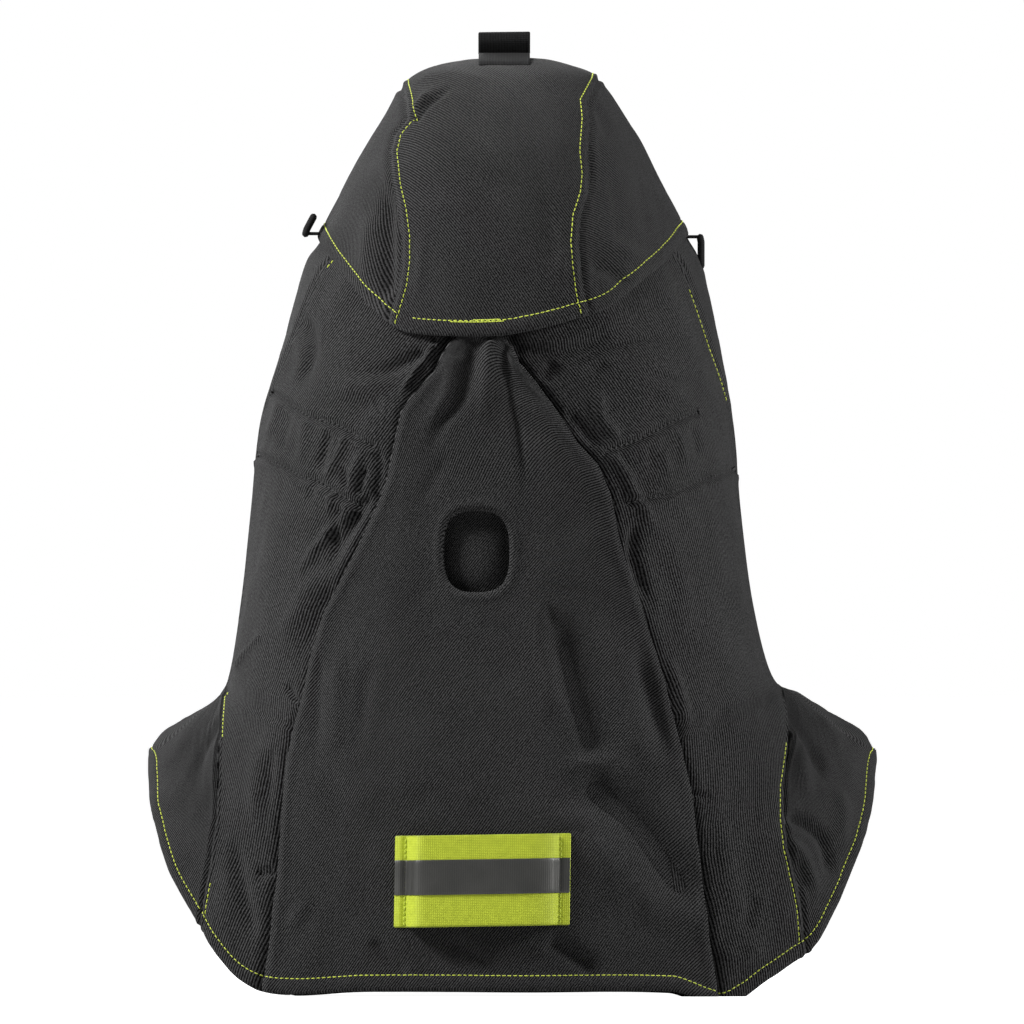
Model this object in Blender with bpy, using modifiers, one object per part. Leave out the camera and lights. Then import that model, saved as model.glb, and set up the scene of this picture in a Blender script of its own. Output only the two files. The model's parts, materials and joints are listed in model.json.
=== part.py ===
"""Firefighter's protective hood with a shoulder cape, worn over the head.

Frame: metres, +Z up.  The origin is on the inside of the crown, where the top of the wearer's
head holds the hood up.  -Y is the back of the hood, +Y is the face, +X is the wearer's left.
Heights in the tables below are measured up from the cape's lowest edge.
"""
import math
from collections import namedtuple

import bmesh
import bpy
import numpy as np
from mathutils import Vector

# ---------------------------------------------------------------- driving dimensions
HEAD_TOP = 0.505            # height of the wearer's head top above the cape's lowest edge
OUTER = 0.0025              # padded outer panels
FACING = 0.0013             # turned hems and facings
LINING = 0.0015             # lining
ELASTIC = 0.0010            # flat elastic
GAP = 0.0006                # air between layers that touch
THREAD = 0.0005             # radius of the topstitching thread

BACK_LIFT = OUTER + FACING + 2 * GAP     # the A-shaped back panel stands proud of the sides
LINING_DEPTH = OUTER + ELASTIC + 4 * GAP

CROWN_SEAM_LEFT = -0.055    # crown seams, as seen from behind
CROWN_SEAM_RIGHT = 0.040

HOLE_CENTRE = (-0.0167, 0.2435)          # oval hole: across, height
HOLE_SIZE = (0.036, 0.045)
HOLE_POWER = 2.8            # how square the oval is (2 is an ellipse)
HOLE_POINTS = 28
HOLE_FACING = 0.018         # how much wider than the hole its facing is

TAPE_WIDTH = 0.050          # reflective tape, measured up the back
TAPE_HEIGHT = 0.067         # height of its middle
TAPE_LEFT, TAPE_RIGHT = -0.061, 0.0345
TAPE_FOLD_LEFT, TAPE_FOLD_RIGHT = -0.0545, 0.0270
TAPE_THICK = 0.0012
TAPE_STAND = 0.0090         # how far the loop stands off the back
TAPE_CLEAR = 0.0016         # how far the stitched ends stay off the curved back
STRIPE_WIDTH = 0.0195
STRIPE_THICK = 0.0004

LOOP_WIDTH = 0.026          # webbing loop on the crown
LOOP_HEIGHT = 0.0165
LOOP_DEPTH = 0.0088
WEBBING = 0.0017
LOOP_FOOT = 0.0047          # top of the crown's cloth under the loop, above the head top
LOOP_PIVOT = LOOP_FOOT + WEBBING + 0.0006

TEMPLE_LENGTH = 0.0175      # folded webbing loops at the temples
TEMPLE_WIDTH = 0.020
TEMPLE_THICK = 0.0042
TEMPLE_TAB = 0.0055         # how far the sewn tab stands out of the crown's hem
TEMPLE_LEAN = math.radians(28)          # the left loop leans on the crown

FACE_CENTRE = 0.357         # face opening
FACE_HALF_HEIGHT = 0.073
FACE_HALF_WIDTH = 0.060
FACE_BAND = 0.014

# A level is one loop round the hood.  back/side/front heights, half width, depth to the back and
# to the front, sideways shift, and how far its dip follows the cape's hem (0 none, 1 all).
Level = namedtuple("Level", "h_back h_side h_front half back front shift hem")

CROWN = [
    Level(0.5090, 0.5090, 0.5090, 0.0000, 0.000, 0.000, 0.000, 0),
    Level(0.5078, 0.5085, 0.5078, 0.0220, 0.025, 0.025, 0.000, 0),
    Level(0.5010, 0.5025, 0.5010, 0.0440, 0.046, 0.047, 0.000, 0),
    Level(0.4900, 0.4930, 0.4900, 0.0550, 0.063, 0.065, -0.002, 0),
    Level(0.4740, 0.4795, 0.4770, 0.0642, 0.078, 0.079, -0.002, 0.1),
    Level(0.4570, 0.4660, 0.4650, 0.0726, 0.090, 0.089, -0.002, 0.25),
    Level(0.4330, 0.4480, 0.4530, 0.0820, 0.100, 0.095, -0.003, 0.5),
    Level(0.4050, 0.4320, 0.4430, 0.0905, 0.107, 0.099, -0.003, 0.75),
    Level(0.3600, 0.4140, 0.4300, 0.1004, 0.1125, 0.102, -0.003, 1.0),
]

BODY = [
    Level(0.3720, 0.4230, 0.4230, 0.0860, 0.0955, 0.092, -0.002, 0),
    Level(0.3580, 0.4090, 0.4090, 0.0915, 0.0990, 0.094, -0.003, 0),
    Level(0.3460, 0.3970, 0.3970, 0.1030, 0.1045, 0.098, -0.004, 0),
    Level(0.3150, 0.3640, 0.3640, 0.1145, 0.1090, 0.101, -0.005, 0),
    Level(0.2700, 0.3150, 0.3120, 0.1260, 0.1110, 0.102, -0.006, 0),
    Level(0.2250, 0.2650, 0.2550, 0.1315, 0.1140, 0.104, -0.0065, 0),
    Level(0.1850, 0.2150, 0.2050, 0.1380, 0.1180, 0.109, -0.006, 0),
    Level(0.1500, 0.1760, 0.1650, 0.1470, 0.1230, 0.115, -0.004, 0),
    Level(0.1150, 0.1660, 0.1280, 0.1600, 0.1275, 0.119, 0.000, 0.25),
    Level(0.0780, 0.1570, 0.0880, 0.1740, 0.1315, 0.122, 0.002, 0.5),
    Level(0.0410, 0.1460, 0.0490, 0.1870, 0.1350, 0.125, 0.003, 0.75),
    Level(0.0050, 0.1350, 0.0110, 0.1960, 0.1380, 0.128, 0.003, 1.0),
]
FORM_SAMPLES = {}
SHOULDER_FULLNESS = 0.25    # how much the cape squares off over the shoulders
CROWN_HEM = len(CROWN) - 1
CAPE_HEM = len(BODY) - 1

# How far a hem has dipped from the wearer's side (0) to its lowest edge (1), against the cosine
# of the angle round the hood.
CROWN_DIP = [(0.0, 0.0), (0.25, 0.11), (0.46, 0.32), (0.62, 0.51), (0.74, 0.70), (0.835, 0.87),
             (0.93, 0.95), (1.0, 1.0)]
HEM_DIP = [(0.0, 0.0), (0.13, 0.18), (0.27, 0.37), (0.39, 0.55), (0.50, 0.73), (0.60, 0.88),
           (0.71, 0.965), (0.80, 0.99), (0.89, 1.0), (1.0, 1.0)]

# Edges of the A-shaped back panel as (across, height), top to hem.
BACK_EDGE_LEFT = [(-0.028, 0.373), (-0.031, 0.358), (-0.039, 0.342), (-0.052, 0.325), (-0.062, 0.302),
                  (-0.072, 0.267), (-0.090, 0.233), (-0.107, 0.190), (-0.119, 0.145),
                  (-0.123, 0.106), (-0.127, 0.059), (-0.132, 0.010)]
BACK_EDGE_RIGHT = [(-0.008, 0.373), (-0.002, 0.358), (0.013, 0.336), (0.027, 0.319), (0.046, 0.295),
                   (0.056, 0.277), (0.068, 0.233), (0.082, 0.185), (0.094, 0.143),
                   (0.101, 0.106), (0.109, 0.050), (0.117, 0.010)]
LAP = 0.012                 # how far the side panels run under the back panel

# Where each side panel meets the front panel, as turns round the form (1 is the side) by level.
SIDE_SEAM = [(0.0, 0.74), (2.0, 0.77), (3.0, 0.84), (4.0, 0.96), (5.0, 1.02), (7.0, 1.00)]
GUSSET_FOOT = 0.36          # how far each edge of a shoulder gusset is from the shoulder point
SEAM_SLIT = 0.004           # half the slit between butted panels, in turns
PANEL_TOP = 0.15            # level at which the neck panels start, under the crown's hem
GUSSET_APEX = 0.12          # how far below the side seam's end a gusset starts, in levels

# The elastic inside each side panel: turns at its back end and how far it runs round, the level of
# its back end, how far its front end climbs and how wide it is, in levels.
ELASTIC_START, ELASTIC_REACH = 0.44, 1.02
ELASTIC_LEVEL, ELASTIC_CLIMB, ELASTIC_WIDTH = 4.05, 1.15, 0.52

BLACK = (0.022, 0.022, 0.023, 1)
LIME = (0.62, 0.80, 0.04, 1)
SILVER = (0.33, 0.33, 0.32, 1)


# ---------------------------------------------------------------- scene and materials
def clear_scene():
    for thing in list(bpy.data.objects):
        bpy.data.objects.remove(thing, do_unlink=True)


def collection(name):
    group = bpy.data.collections.new(name)
    bpy.context.scene.collection.children.link(group)
    return group


def material(name, colour, roughness, metallic=0.0):
    mat = bpy.data.materials.new(name)
    mat.use_nodes = True
    shader = mat.node_tree.nodes["Principled BSDF"]
    shader.inputs["Base Color"].default_value = colour
    shader.inputs["Roughness"].default_value = roughness
    shader.inputs["Metallic"].default_value = metallic
    mat.diffuse_color = colour
    return mat


def add_object(name, data, group, colour, roughness=0.9, metallic=0.0):
    obj = bpy.data.objects.new(name, data)
    data.materials.append(material(name + "_material", colour, roughness, metallic))
    group.objects.link(obj)
    return obj


# ---------------------------------------------------------------- the form the cloth lies on
def through(points, at):
    """Catmull-Rom curve through (position, value) points, read at one position."""
    positions = [p[0] for p in points]
    values = [p[1] for p in points]
    at = min(max(at, positions[0]), positions[-1])
    i = min(max(int(np.searchsorted(positions, at)) - 1, 0), len(points) - 2)
    span = positions[i + 1] - positions[i]
    t = (at - positions[i]) / span
    before = values[i] - values[i - 1] if i > 0 else values[i + 1] - values[i]
    after = values[i + 2] - values[i + 1] if i + 2 < len(points) else values[i + 1] - values[i]
    step = values[i + 1] - values[i]
    start = 0.5 * (before + step)
    end = 0.5 * (step + after)
    return (values[i] + start * t + (3 * step - 2 * start - end) * t * t
            + (start + end - 2 * step) * t ** 3)


def level_at(levels, v):
    rows = []
    for field in range(len(Level._fields)):
        rows.append(through([(k, level[field]) for k, level in enumerate(levels)], v))
    return Level(*rows)


def on_form(levels, u, v):
    """u: -2..2 round the form, 0 centre back, 1 the +X side, 2 centre front.  v: level."""
    row = level_at(levels, v)
    angle = u * math.pi / 2
    turn = math.cos(angle)
    reach = row.back if turn > 0 else row.front
    low = row.h_back if turn > 0 else row.h_front
    depth = abs(turn)
    hem_dip = CROWN_DIP if levels is CROWN else HEM_DIP
    dip = (1 - row.hem) * depth ** 2 + row.hem * through(hem_dip, depth)
    height = row.h_side + (low - row.h_side) * dip
    if levels is BODY:
        depth = depth ** (1 - SHOULDER_FULLNESS * row.hem)
    return Vector((row.shift + row.half * math.sin(angle),
                   -math.copysign(reach * depth, turn), height - HEAD_TOP))


def form_normal(levels, u, v):
    step = 0.02
    top = len(levels) - 1
    across = on_form(levels, u + step, v) - on_form(levels, u - step, v)
    down = on_form(levels, u, min(v + step, top)) - on_form(levels, u, max(v - step, 0))
    if across.length < 1e-7:
        return Vector((0, 0, 1))
    return down.cross(across).normalized()


def lifted(levels, u, v, lift):
    return on_form(levels, u, v) + form_normal(levels, u, v) * lift


def sample_form(levels, front):
    """Points spread over one half of the form, where the search for a point starts."""
    start = 1.02 if front else 0.02
    samples = []
    for i in range(25):
        for j in range(4 * (len(levels) - 1)):
            u = start + 0.04 * i
            v = 0.25 + 0.25 * j
            here = on_form(levels, u, v)
            samples.append((u, v, here.x, here.z))
            here = on_form(levels, -u, v)
            samples.append((-u, v, here.x, here.z))
    return np.array(samples)


def locate(levels, across, height, front=False):
    """The (u, v) of the point seen at (across, height) from behind, or from the front."""
    key = (id(levels), front)
    if key not in FORM_SAMPLES:
        FORM_SAMPLES[key] = sample_form(levels, front)
    samples = FORM_SAMPLES[key]
    target = Vector((across, height - HEAD_TOP))
    nearest = np.argmin((samples[:, 2] - target.x) ** 2 + (samples[:, 3] - target.y) ** 2)
    u, v = samples[nearest, 0], samples[nearest, 1]
    for _ in range(12):
        here = on_form(levels, u, v)
        miss = target - Vector((here.x, here.z))
        du = (on_form(levels, u + 0.005, v) - here) / 0.005
        dv = (here - on_form(levels, u, v - 0.005)) / 0.005
        det = du.x * dv.z - dv.x * du.z
        if abs(det) < 1e-7:
            break
        u += min(max((miss.x * dv.z - dv.x * miss.y) / det, -0.1), 0.1)
        v += min(max((du.x * miss.y - miss.x * du.z) / det, -0.5), 0.5)
        v = min(max(v, 0.05), len(levels) - 1.0)
    return u, v


def edge_by_level(levels, outline, front=False):
    """An outline of (across, height) points as a list of (v, u) pairs."""
    pairs = []
    for across, height in outline:
        u, v = locate(levels, across, height, front)
        pairs.append((v, u))
    return sorted(pairs)


def read_edge(pairs, v):
    return float(np.interp(v, [p[0] for p in pairs], [p[1] for p in pairs]))


# ---------------------------------------------------------------- sheets
def sheet_mesh(name, place, columns, rows):
    """A grid bent onto place(s, t), both from 0 to 1, with its faces turned outwards."""
    bm = bmesh.new()
    bmesh.ops.create_grid(bm, x_segments=columns, y_segments=rows, size=1.0)
    for vert in bm.verts:
        vert.co = place((vert.co.x + 1) / 2, (1 - vert.co.y) / 2)
    bmesh.ops.remove_doubles(bm, verts=bm.verts, dist=0.00002)
    bm.normal_update()
    outward = 0.0
    for face in bm.faces:
        centre = face.calc_center_median()
        outward += face.calc_area() * face.normal.dot(Vector((centre.x, centre.y, 0)))
    if outward < 0:
        bmesh.ops.reverse_faces(bm, faces=bm.faces)
    mesh = bpy.data.meshes.new(name)
    bm.to_mesh(mesh)
    bm.free()
    return mesh


def thicken(obj, thickness):
    shell = obj.modifiers.new("Thickness", "SOLIDIFY")
    shell.thickness = thickness
    shell.offset = -1.0
    shell.use_even_offset = True
    shell.use_rim = True
    obj.data.shade_smooth()
    obj.data.set_sharp_from_angle(angle=math.radians(40))


def sheet(name, place, columns, rows, thickness, group, colour=BLACK, roughness=0.9):
    mesh = sheet_mesh(name, place, columns, rows)
    obj = add_object(name, mesh, group, colour, roughness)
    thicken(obj, thickness)
    return obj


def between(levels, left, right, top, bottom, lift=0.0):
    """A place() for sheet(): from edge left(v) to edge right(v), from level top to bottom."""
    def place(s, t):
        v = top + (bottom - top) * t
        u = left(v) + (right(v) - left(v)) * s
        return lifted(levels, u, v, lift)
    return place


def thread(name, points, group, closed=False, colour=LIME):
    """Topstitching as one thin round line through the given points."""
    curve = bpy.data.curves.new(name, "CURVE")
    curve.dimensions = "3D"
    curve.bevel_depth = THREAD
    curve.bevel_resolution = 0
    curve.resolution_u = 1
    curve.use_fill_caps = True
    line = curve.splines.new("POLY")
    line.points.add(len(points) - 1)
    for spot, point in zip(line.points, points):
        spot.co = (*point, 1)
    line.use_cyclic_u = closed
    return add_object(name, curve, group, colour, 0.6)


# ---------------------------------------------------------------- crown
def crown_dome(name, top, bottom, depth, rows):
    def place(s, t):
        v = top + (bottom - top) * t
        return lifted(CROWN, -2 + 4 * s, v, -depth)
    return sheet_mesh(name, place, 36, rows)


def cut_at(mesh, across, keep_right):
    """Keep the part of a mesh on one side of an upright fore-and-aft plane."""
    bm = bmesh.new()
    bm.from_mesh(mesh)
    everything = bm.verts[:] + bm.edges[:] + bm.faces[:]
    bmesh.ops.bisect_plane(bm, geom=everything, plane_co=(across, 0, 0), plane_no=(1, 0, 0),
                           clear_inner=keep_right, clear_outer=not keep_right, dist=0.0003)
    bm.to_mesh(mesh)
    bm.free()


def build_crown(group):
    slits = {
        "crown_side_panel_left": [(CROWN_SEAM_LEFT - 2 * GAP, False)],
        "crown_centre_panel": [(CROWN_SEAM_LEFT, True), (CROWN_SEAM_RIGHT, False)],
        "crown_side_panel_right": [(CROWN_SEAM_RIGHT + 2 * GAP, True)],
    }
    for name, cuts in slits.items():
        mesh = crown_dome(name, 0.0, CROWN_HEM, 0.0, 16)
        for across, keep_right in cuts:
            cut_at(mesh, across, keep_right)
        thicken(add_object(name, mesh, group, BLACK), OUTER)

    mesh = crown_dome("crown_lining", 0.0, CROWN_HEM - 0.90, LINING_DEPTH, 8)
    thicken(add_object("crown_lining", mesh, group, BLACK), LINING)

    ring = between(CROWN, lambda v: -2.0, lambda v: 2.0, CROWN_HEM - 0.28, CROWN_HEM - 0.03,
                   -OUTER - GAP)
    sheet("crown_hem_facing", ring, 40, 2, FACING, group)


def fore_aft_line(across, bottom, lift):
    """A line over the crown from the back to the brow, in one upright plane."""
    turns = []
    for k in range(28):
        v = bottom * (1 - k / 28)
        row = level_at(CROWN, v)
        reach = abs(across - row.shift) / max(row.half, 1e-6)
        if reach < 0.995:
            turns.append((math.asin(reach) / (math.pi / 2), v))
    side = math.copysign(1, across)
    back = [lifted(CROWN, side * u, v, lift) for u, v in turns]
    front = [lifted(CROWN, side * (2 - u), v, lift) for u, v in turns]
    return back + front[::-1]


def crown_threads(group):
    lift = GAP + THREAD
    inset = CROWN_HEM - 0.16
    ring = []
    for k in range(48):
        ring.append(lifted(CROWN, -2 + 4 * k / 48, inset, lift))
    thread("crown_hem_thread", ring, group, closed=True)
    beside = 0.003
    for name, across in (("crown_seam_thread_left", CROWN_SEAM_LEFT + beside),
                         ("crown_seam_thread_right", CROWN_SEAM_RIGHT - beside)):
        thread(name, fore_aft_line(across, CROWN_HEM - 0.3, lift + 2 * GAP), group)


# ---------------------------------------------------------------- neck and cape
def side_seam(v):
    """Turns from centre back to the seam in front of each side panel, at one level."""
    if v <= SIDE_SEAM[-1][0]:
        return through(SIDE_SEAM, v)
    fall = (v - SIDE_SEAM[-1][0]) / (CAPE_HEM - SIDE_SEAM[-1][0])
    return SIDE_SEAM[-1][1] - GUSSET_FOOT * fall


def front_seam(v):
    """Turns from centre back to the back edge of each front panel, at one level."""
    if v <= SIDE_SEAM[-1][0]:
        return through(SIDE_SEAM, v)
    fall = (v - SIDE_SEAM[-1][0]) / (CAPE_HEM - SIDE_SEAM[-1][0])
    return SIDE_SEAM[-1][1] + GUSSET_FOOT * fall


def face_edge(v, side):
    """Turns from centre back to the edge of the face opening, at one level on one side."""
    row = level_at(BODY, v)
    up = (row.h_front - FACE_CENTRE) / FACE_HALF_HEIGHT
    if up <= -1:
        half = 0.0
    elif up < 0.6:
        half = FACE_HALF_WIDTH * math.sqrt(1 - up * up)
    else:
        half = FACE_HALF_WIDTH * 0.8
    return 2.0 - math.asin((half - side * row.shift) / row.half) / (math.pi / 2)


def inset_edge(pairs, inward):
    """The back panel's edge moved inwards, for the panels that run under it."""
    def edge(v):
        width = level_at(BODY, v).half * math.pi / 2
        return read_edge(pairs, v) + inward / width
    return edge


def superellipse_outline(centre, size):
    points = []
    for k in range(HOLE_POINTS):
        angle = 2 * math.pi * k / HOLE_POINTS
        c, s = math.cos(angle), math.sin(angle)
        x = centre[0] + 0.5 * size[0] * math.copysign(abs(c) ** (2 / HOLE_POWER), c)
        z = centre[1] + 0.5 * size[1] * math.copysign(abs(s) ** (2 / HOLE_POWER), s)
        points.append((x, z))
    return points


def hole_cutter(group):
    bm = bmesh.new()
    corners = []
    for x, height in superellipse_outline(HOLE_CENTRE, HOLE_SIZE):
        corners.append(bm.verts.new((x, -0.16, height - HEAD_TOP)))
    face = bm.faces.new(corners)
    pushed = bmesh.ops.extrude_face_region(bm, geom=[face])["geom"]
    for item in pushed:
        if isinstance(item, bmesh.types.BMVert):
            item.co.y = -0.09
    bmesh.ops.recalc_face_normals(bm, faces=bm.faces)
    mesh = bpy.data.meshes.new("hole_cutter")
    bm.to_mesh(mesh)
    bm.free()
    cutter = bpy.data.objects.new("hole_cutter", mesh)
    cutter.hide_render = True
    cutter.display_type = "WIRE"
    group.objects.link(cutter)
    return cutter


def hole_facing(group):
    rim = superellipse_outline(HOLE_CENTRE, HOLE_SIZE)
    wide = (HOLE_SIZE[0] + HOLE_FACING, HOLE_SIZE[1] + HOLE_FACING)
    outer = superellipse_outline(HOLE_CENTRE, wide)

    def place(s, t):
        k = round(s * HOLE_POINTS) % HOLE_POINTS
        across = rim[k][0] + (outer[k][0] - rim[k][0]) * t
        height = rim[k][1] + (outer[k][1] - rim[k][1]) * t
        u, v = locate(BODY, across, height)
        return lifted(BODY, u, v, BACK_LIFT - OUTER - GAP)
    sheet("hole_facing", place, HOLE_POINTS, 1, FACING, group)


def build_back(group, cutters):
    left = edge_by_level(BODY, BACK_EDGE_LEFT)
    right = edge_by_level(BODY, BACK_EDGE_RIGHT)
    place = between(BODY, lambda v: read_edge(left, v), lambda v: read_edge(right, v),
                    PANEL_TOP, CAPE_HEM, BACK_LIFT)
    back = sheet("back_panel", place, 9, 22, OUTER, group)
    cut = back.modifiers.new("Oval hole", "BOOLEAN")
    cut.operation = "DIFFERENCE"
    cut.solver = "EXACT"
    cut.object = hole_cutter(cutters)
    hole_facing(group)

    under_left = inset_edge(left, LAP)
    under_right = inset_edge(right, -LAP)

    def middle(v):
        return 0.5 * (read_edge(left, v) + read_edge(right, v))

    def lap_left(v):
        return min(under_left(v), middle(v) - 0.02)

    def lap_right(v):
        return max(under_right(v), middle(v) + 0.02)

    place = between(BODY, lambda v: lap_left(v) + SEAM_SLIT, lambda v: lap_right(v) - SEAM_SLIT,
                    PANEL_TOP, CAPE_HEM)
    sheet("pleat_underlay", place, 7, 22, OUTER, group)

    place = between(BODY, lambda v: -side_seam(v) + SEAM_SLIT, lap_left, PANEL_TOP, CAPE_HEM)
    sheet("side_panel_left", place, 7, 22, OUTER, group)
    place = between(BODY, lap_right, lambda v: side_seam(v) - SEAM_SLIT, PANEL_TOP, CAPE_HEM)
    sheet("side_panel_right", place, 8, 22, OUTER, group)


def build_gussets(group):
    apex = SIDE_SEAM[-1][0] + GUSSET_APEX
    for side, name in ((-1, "shoulder_gusset_left"), (1, "shoulder_gusset_right")):
        def back_edge(v):
            return side * (side_seam(v) + SEAM_SLIT)

        def front_edge(v):
            return side * (front_seam(v) - SEAM_SLIT)
        sheet(name, between(BODY, back_edge, front_edge, apex, CAPE_HEM), 10, 9, OUTER, group)


def build_front(group):
    for side, name in ((-1, "front_panel_left"), (1, "front_panel_right")):
        def outer_edge(v):
            return side * (front_seam(v) + SEAM_SLIT)

        def inner_edge(v):
            return side * (face_edge(v, side) - SEAM_SLIT)
        sheet(name, between(BODY, outer_edge, inner_edge, PANEL_TOP, CAPE_HEM), 7, 26, OUTER, group)


def face_strip(width, inset, lift):
    """A U-shaped strip round the sides and chin of the face opening."""
    def place(s, t):
        angle = math.radians(30 - 240 * s)
        grow = inset + width * t
        across = (FACE_HALF_WIDTH + grow) * math.cos(angle)
        height = FACE_CENTRE + (FACE_HALF_HEIGHT + grow) * math.sin(angle)
        if abs(across) < 0.0005:
            across = 0.0005
        u, v = locate(BODY, across, height, front=True)
        return lifted(BODY, u, v, lift)
    return place


def build_face(group):
    lift = GAP + ELASTIC
    sheet("face_elastic", face_strip(0.007, 0.004, lift), 30, 1, ELASTIC, group, (0.6, 0.6, 0.58, 1))
    lift += GAP + OUTER - 0.0005
    sheet("face_band", face_strip(FACE_BAND, 0.001, lift), 30, 2, OUTER - 0.0005, group)


def build_linings(group):
    place = between(BODY, lambda v: -face_edge(v, -1) + 0.03, lambda v: face_edge(v, 1) - 0.03,
                    0.7, CAPE_HEM - 0.75, -LINING_DEPTH)
    sheet("neck_lining", place, 26, 20, LINING, group)

    ring = between(BODY, lambda v: -2.0, lambda v: 2.0, CAPE_HEM - 0.45, CAPE_HEM - 0.06,
                   -OUTER - 2 * GAP)
    sheet("cape_hem_facing", ring, 64, 2, FACING, group)


def build_elastics(group):
    for side, name in ((-1, "elastic_left"), (1, "elastic_right")):
        def place(s, t):
            u = side * (ELASTIC_START + ELASTIC_REACH * s)
            v = ELASTIC_LEVEL - ELASTIC_CLIMB * s + ELASTIC_WIDTH * (t - 0.5)
            return lifted(BODY, u, v, -OUTER - 2 * GAP)
        sheet(name, place, 16, 2, ELASTIC, group, (0.6, 0.6, 0.58, 1))


def cape_threads(group):
    lift = GAP + THREAD
    proud = BACK_LIFT + lift
    left = edge_by_level(BODY, BACK_EDGE_LEFT)
    right = edge_by_level(BODY, BACK_EDGE_RIGHT)
    inset = CAPE_HEM - 0.20
    low, high = read_edge(left, inset) - 0.06, read_edge(right, inset) + 0.06
    ring = []
    for k in range(72):
        u = -2 + 4 * k / 72
        on_back = low < u < high
        ring.append(lifted(BODY, u, inset, proud if on_back else lift))
    thread("cape_hem_thread", ring, group, closed=True)
    for side, name in ((-1, "gusset_thread_left"), (1, "gusset_thread_right")):
        line = []
        for k in range(9):
            v = 7.5 + (inset - 0.15 - 7.5) * k / 8
            line.append(lifted(BODY, side * (side_seam(v) - 0.03), v, lift))
        thread(name, line, group)
    line = []
    for k in range(7):
        v = 1.9 + 1.9 * k / 6
        line.append(lifted(BODY, side_seam(v) - 0.03, v, lift))
    thread("side_thread_right", line, group)


# ---------------------------------------------------------------- tape and webbing
def flat_strip(name, outline, width, group, colour, roughness, metallic=0.0):
    """A closed outline in the local XY plane, with its width along local Z."""
    curve = bpy.data.curves.new(name, "CURVE")
    curve.dimensions = "2D"
    curve.fill_mode = "BOTH"
    curve.extrude = width / 2
    line = curve.splines.new("POLY")
    line.points.add(len(outline) - 1)
    for spot, (x, y) in zip(line.points, outline):
        spot.co = (x, y, 0, 1)
    line.use_cyclic_u = True
    return add_object(name, curve, group, colour, roughness, metallic)


def behind(across, height):
    """How far back the outside of the back panel is, at one place seen from behind."""
    u, v = locate(BODY, across, height)
    return lifted(BODY, u, v, BACK_LIFT).y


def tape_path():
    """The tape's middle line seen from above: stitched flat at both ends, standing off between."""
    tuck = 0.001
    belly = (TAPE_FOLD_RIGHT - TAPE_FOLD_LEFT) * 0.16
    middle = behind(0.5 * (TAPE_FOLD_LEFT + TAPE_FOLD_RIGHT), TAPE_HEIGHT) - TAPE_STAND
    ends = [(x, behind(x, TAPE_HEIGHT) - TAPE_CLEAR)
            for x in (TAPE_LEFT, TAPE_FOLD_LEFT, TAPE_FOLD_RIGHT, TAPE_RIGHT)]
    return [ends[0], ends[1], (TAPE_FOLD_LEFT + tuck, ends[1][1] - 0.003),
            (TAPE_FOLD_LEFT + belly, middle), (TAPE_FOLD_RIGHT - belly, middle),
            (TAPE_FOLD_RIGHT - tuck, ends[2][1] - 0.003), ends[2], ends[3]]


def strip_outline(path, thickness):
    """Both sides of a bent strip, as one closed outline."""
    near, far = [], []
    for k, (x, y) in enumerate(path):
        before = Vector(path[max(k - 1, 0)])
        after = Vector(path[min(k + 1, len(path) - 1)])
        along = (after - before).normalized()
        normal = Vector((along.y, -along.x))
        near.append((x + normal.x * thickness / 2, y + normal.y * thickness / 2))
        far.append((x - normal.x * thickness / 2, y - normal.y * thickness / 2))
    return near + far[::-1]


def tape_lean():
    """How much the back slopes under the tape."""
    across = 0.5 * (TAPE_LEFT + TAPE_RIGHT)
    rise = behind(across, TAPE_HEIGHT + TAPE_WIDTH / 2) - behind(across, TAPE_HEIGHT - TAPE_WIDTH / 2)
    return math.atan2(rise, TAPE_WIDTH)


def build_tape(group):
    path = tape_path()
    pieces = [flat_strip("tape_loop", strip_outline(path, TAPE_THICK), TAPE_WIDTH, group, LIME, 0.5)]
    (left, back), (right, _) = path[3], path[4]
    face = back - TAPE_THICK / 2 - GAP
    stripe = [(left, face), (right, face), (right, face - STRIPE_THICK), (left, face - STRIPE_THICK)]
    pieces.append(flat_strip("tape_stripe", stripe, STRIPE_WIDTH, group, SILVER, 0.3, 0.4))
    pivot = Vector((0, back, TAPE_HEIGHT - HEAD_TOP))
    for piece in pieces:
        for spot in piece.data.splines[0].points:
            spot.co.y -= back
        piece.location = pivot
        piece.rotation_euler = (-tape_lean(), 0, 0)


def loop_outline():
    """Side view of the webbing loop: a pear shape with a flat crown, standing on its hinge."""
    half = LOOP_DEPTH / 2
    outer = [(-0.0006, 0.0002), (-0.0022, 0.0042), (-half, 0.0095), (-half, LOOP_HEIGHT - 0.002),
             (-half + 0.0015, LOOP_HEIGHT), (half - 0.0015, LOOP_HEIGHT),
             (half, LOOP_HEIGHT - 0.002), (half, 0.0095), (0.0022, 0.0042), (0.0006, 0.0002)]
    inside = half - WEBBING
    inner = [(0.0, 0.0050), (inside, 0.0095), (inside, LOOP_HEIGHT - WEBBING),
             (-inside, LOOP_HEIGHT - WEBBING), (-inside, 0.0095)]
    return outer, inner


def add_ring(curve, outline):
    line = curve.splines.new("POLY")
    line.points.add(len(outline) - 1)
    for spot, (x, y) in zip(line.points, outline):
        spot.co = (x, y, 0, 1)
    line.use_cyclic_u = True


def build_top_loop(group):
    outer, inner = loop_outline()
    curve = bpy.data.curves.new("top_loop", "CURVE")
    curve.dimensions = "2D"
    curve.fill_mode = "BOTH"
    curve.extrude = LOOP_WIDTH / 2
    add_ring(curve, outer)
    add_ring(curve, inner)
    loop = add_object("top_loop", curve, group, BLACK, 0.8)
    loop.rotation_euler = (math.pi / 2, 0, math.pi / 2)
    loop.location = (-0.002, 0.0, LOOP_PIVOT)
    box("top_loop_tails", (LOOP_WIDTH, 0.014, WEBBING),
        (-0.002, 0.0, LOOP_FOOT + WEBBING / 2), group)


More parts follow.
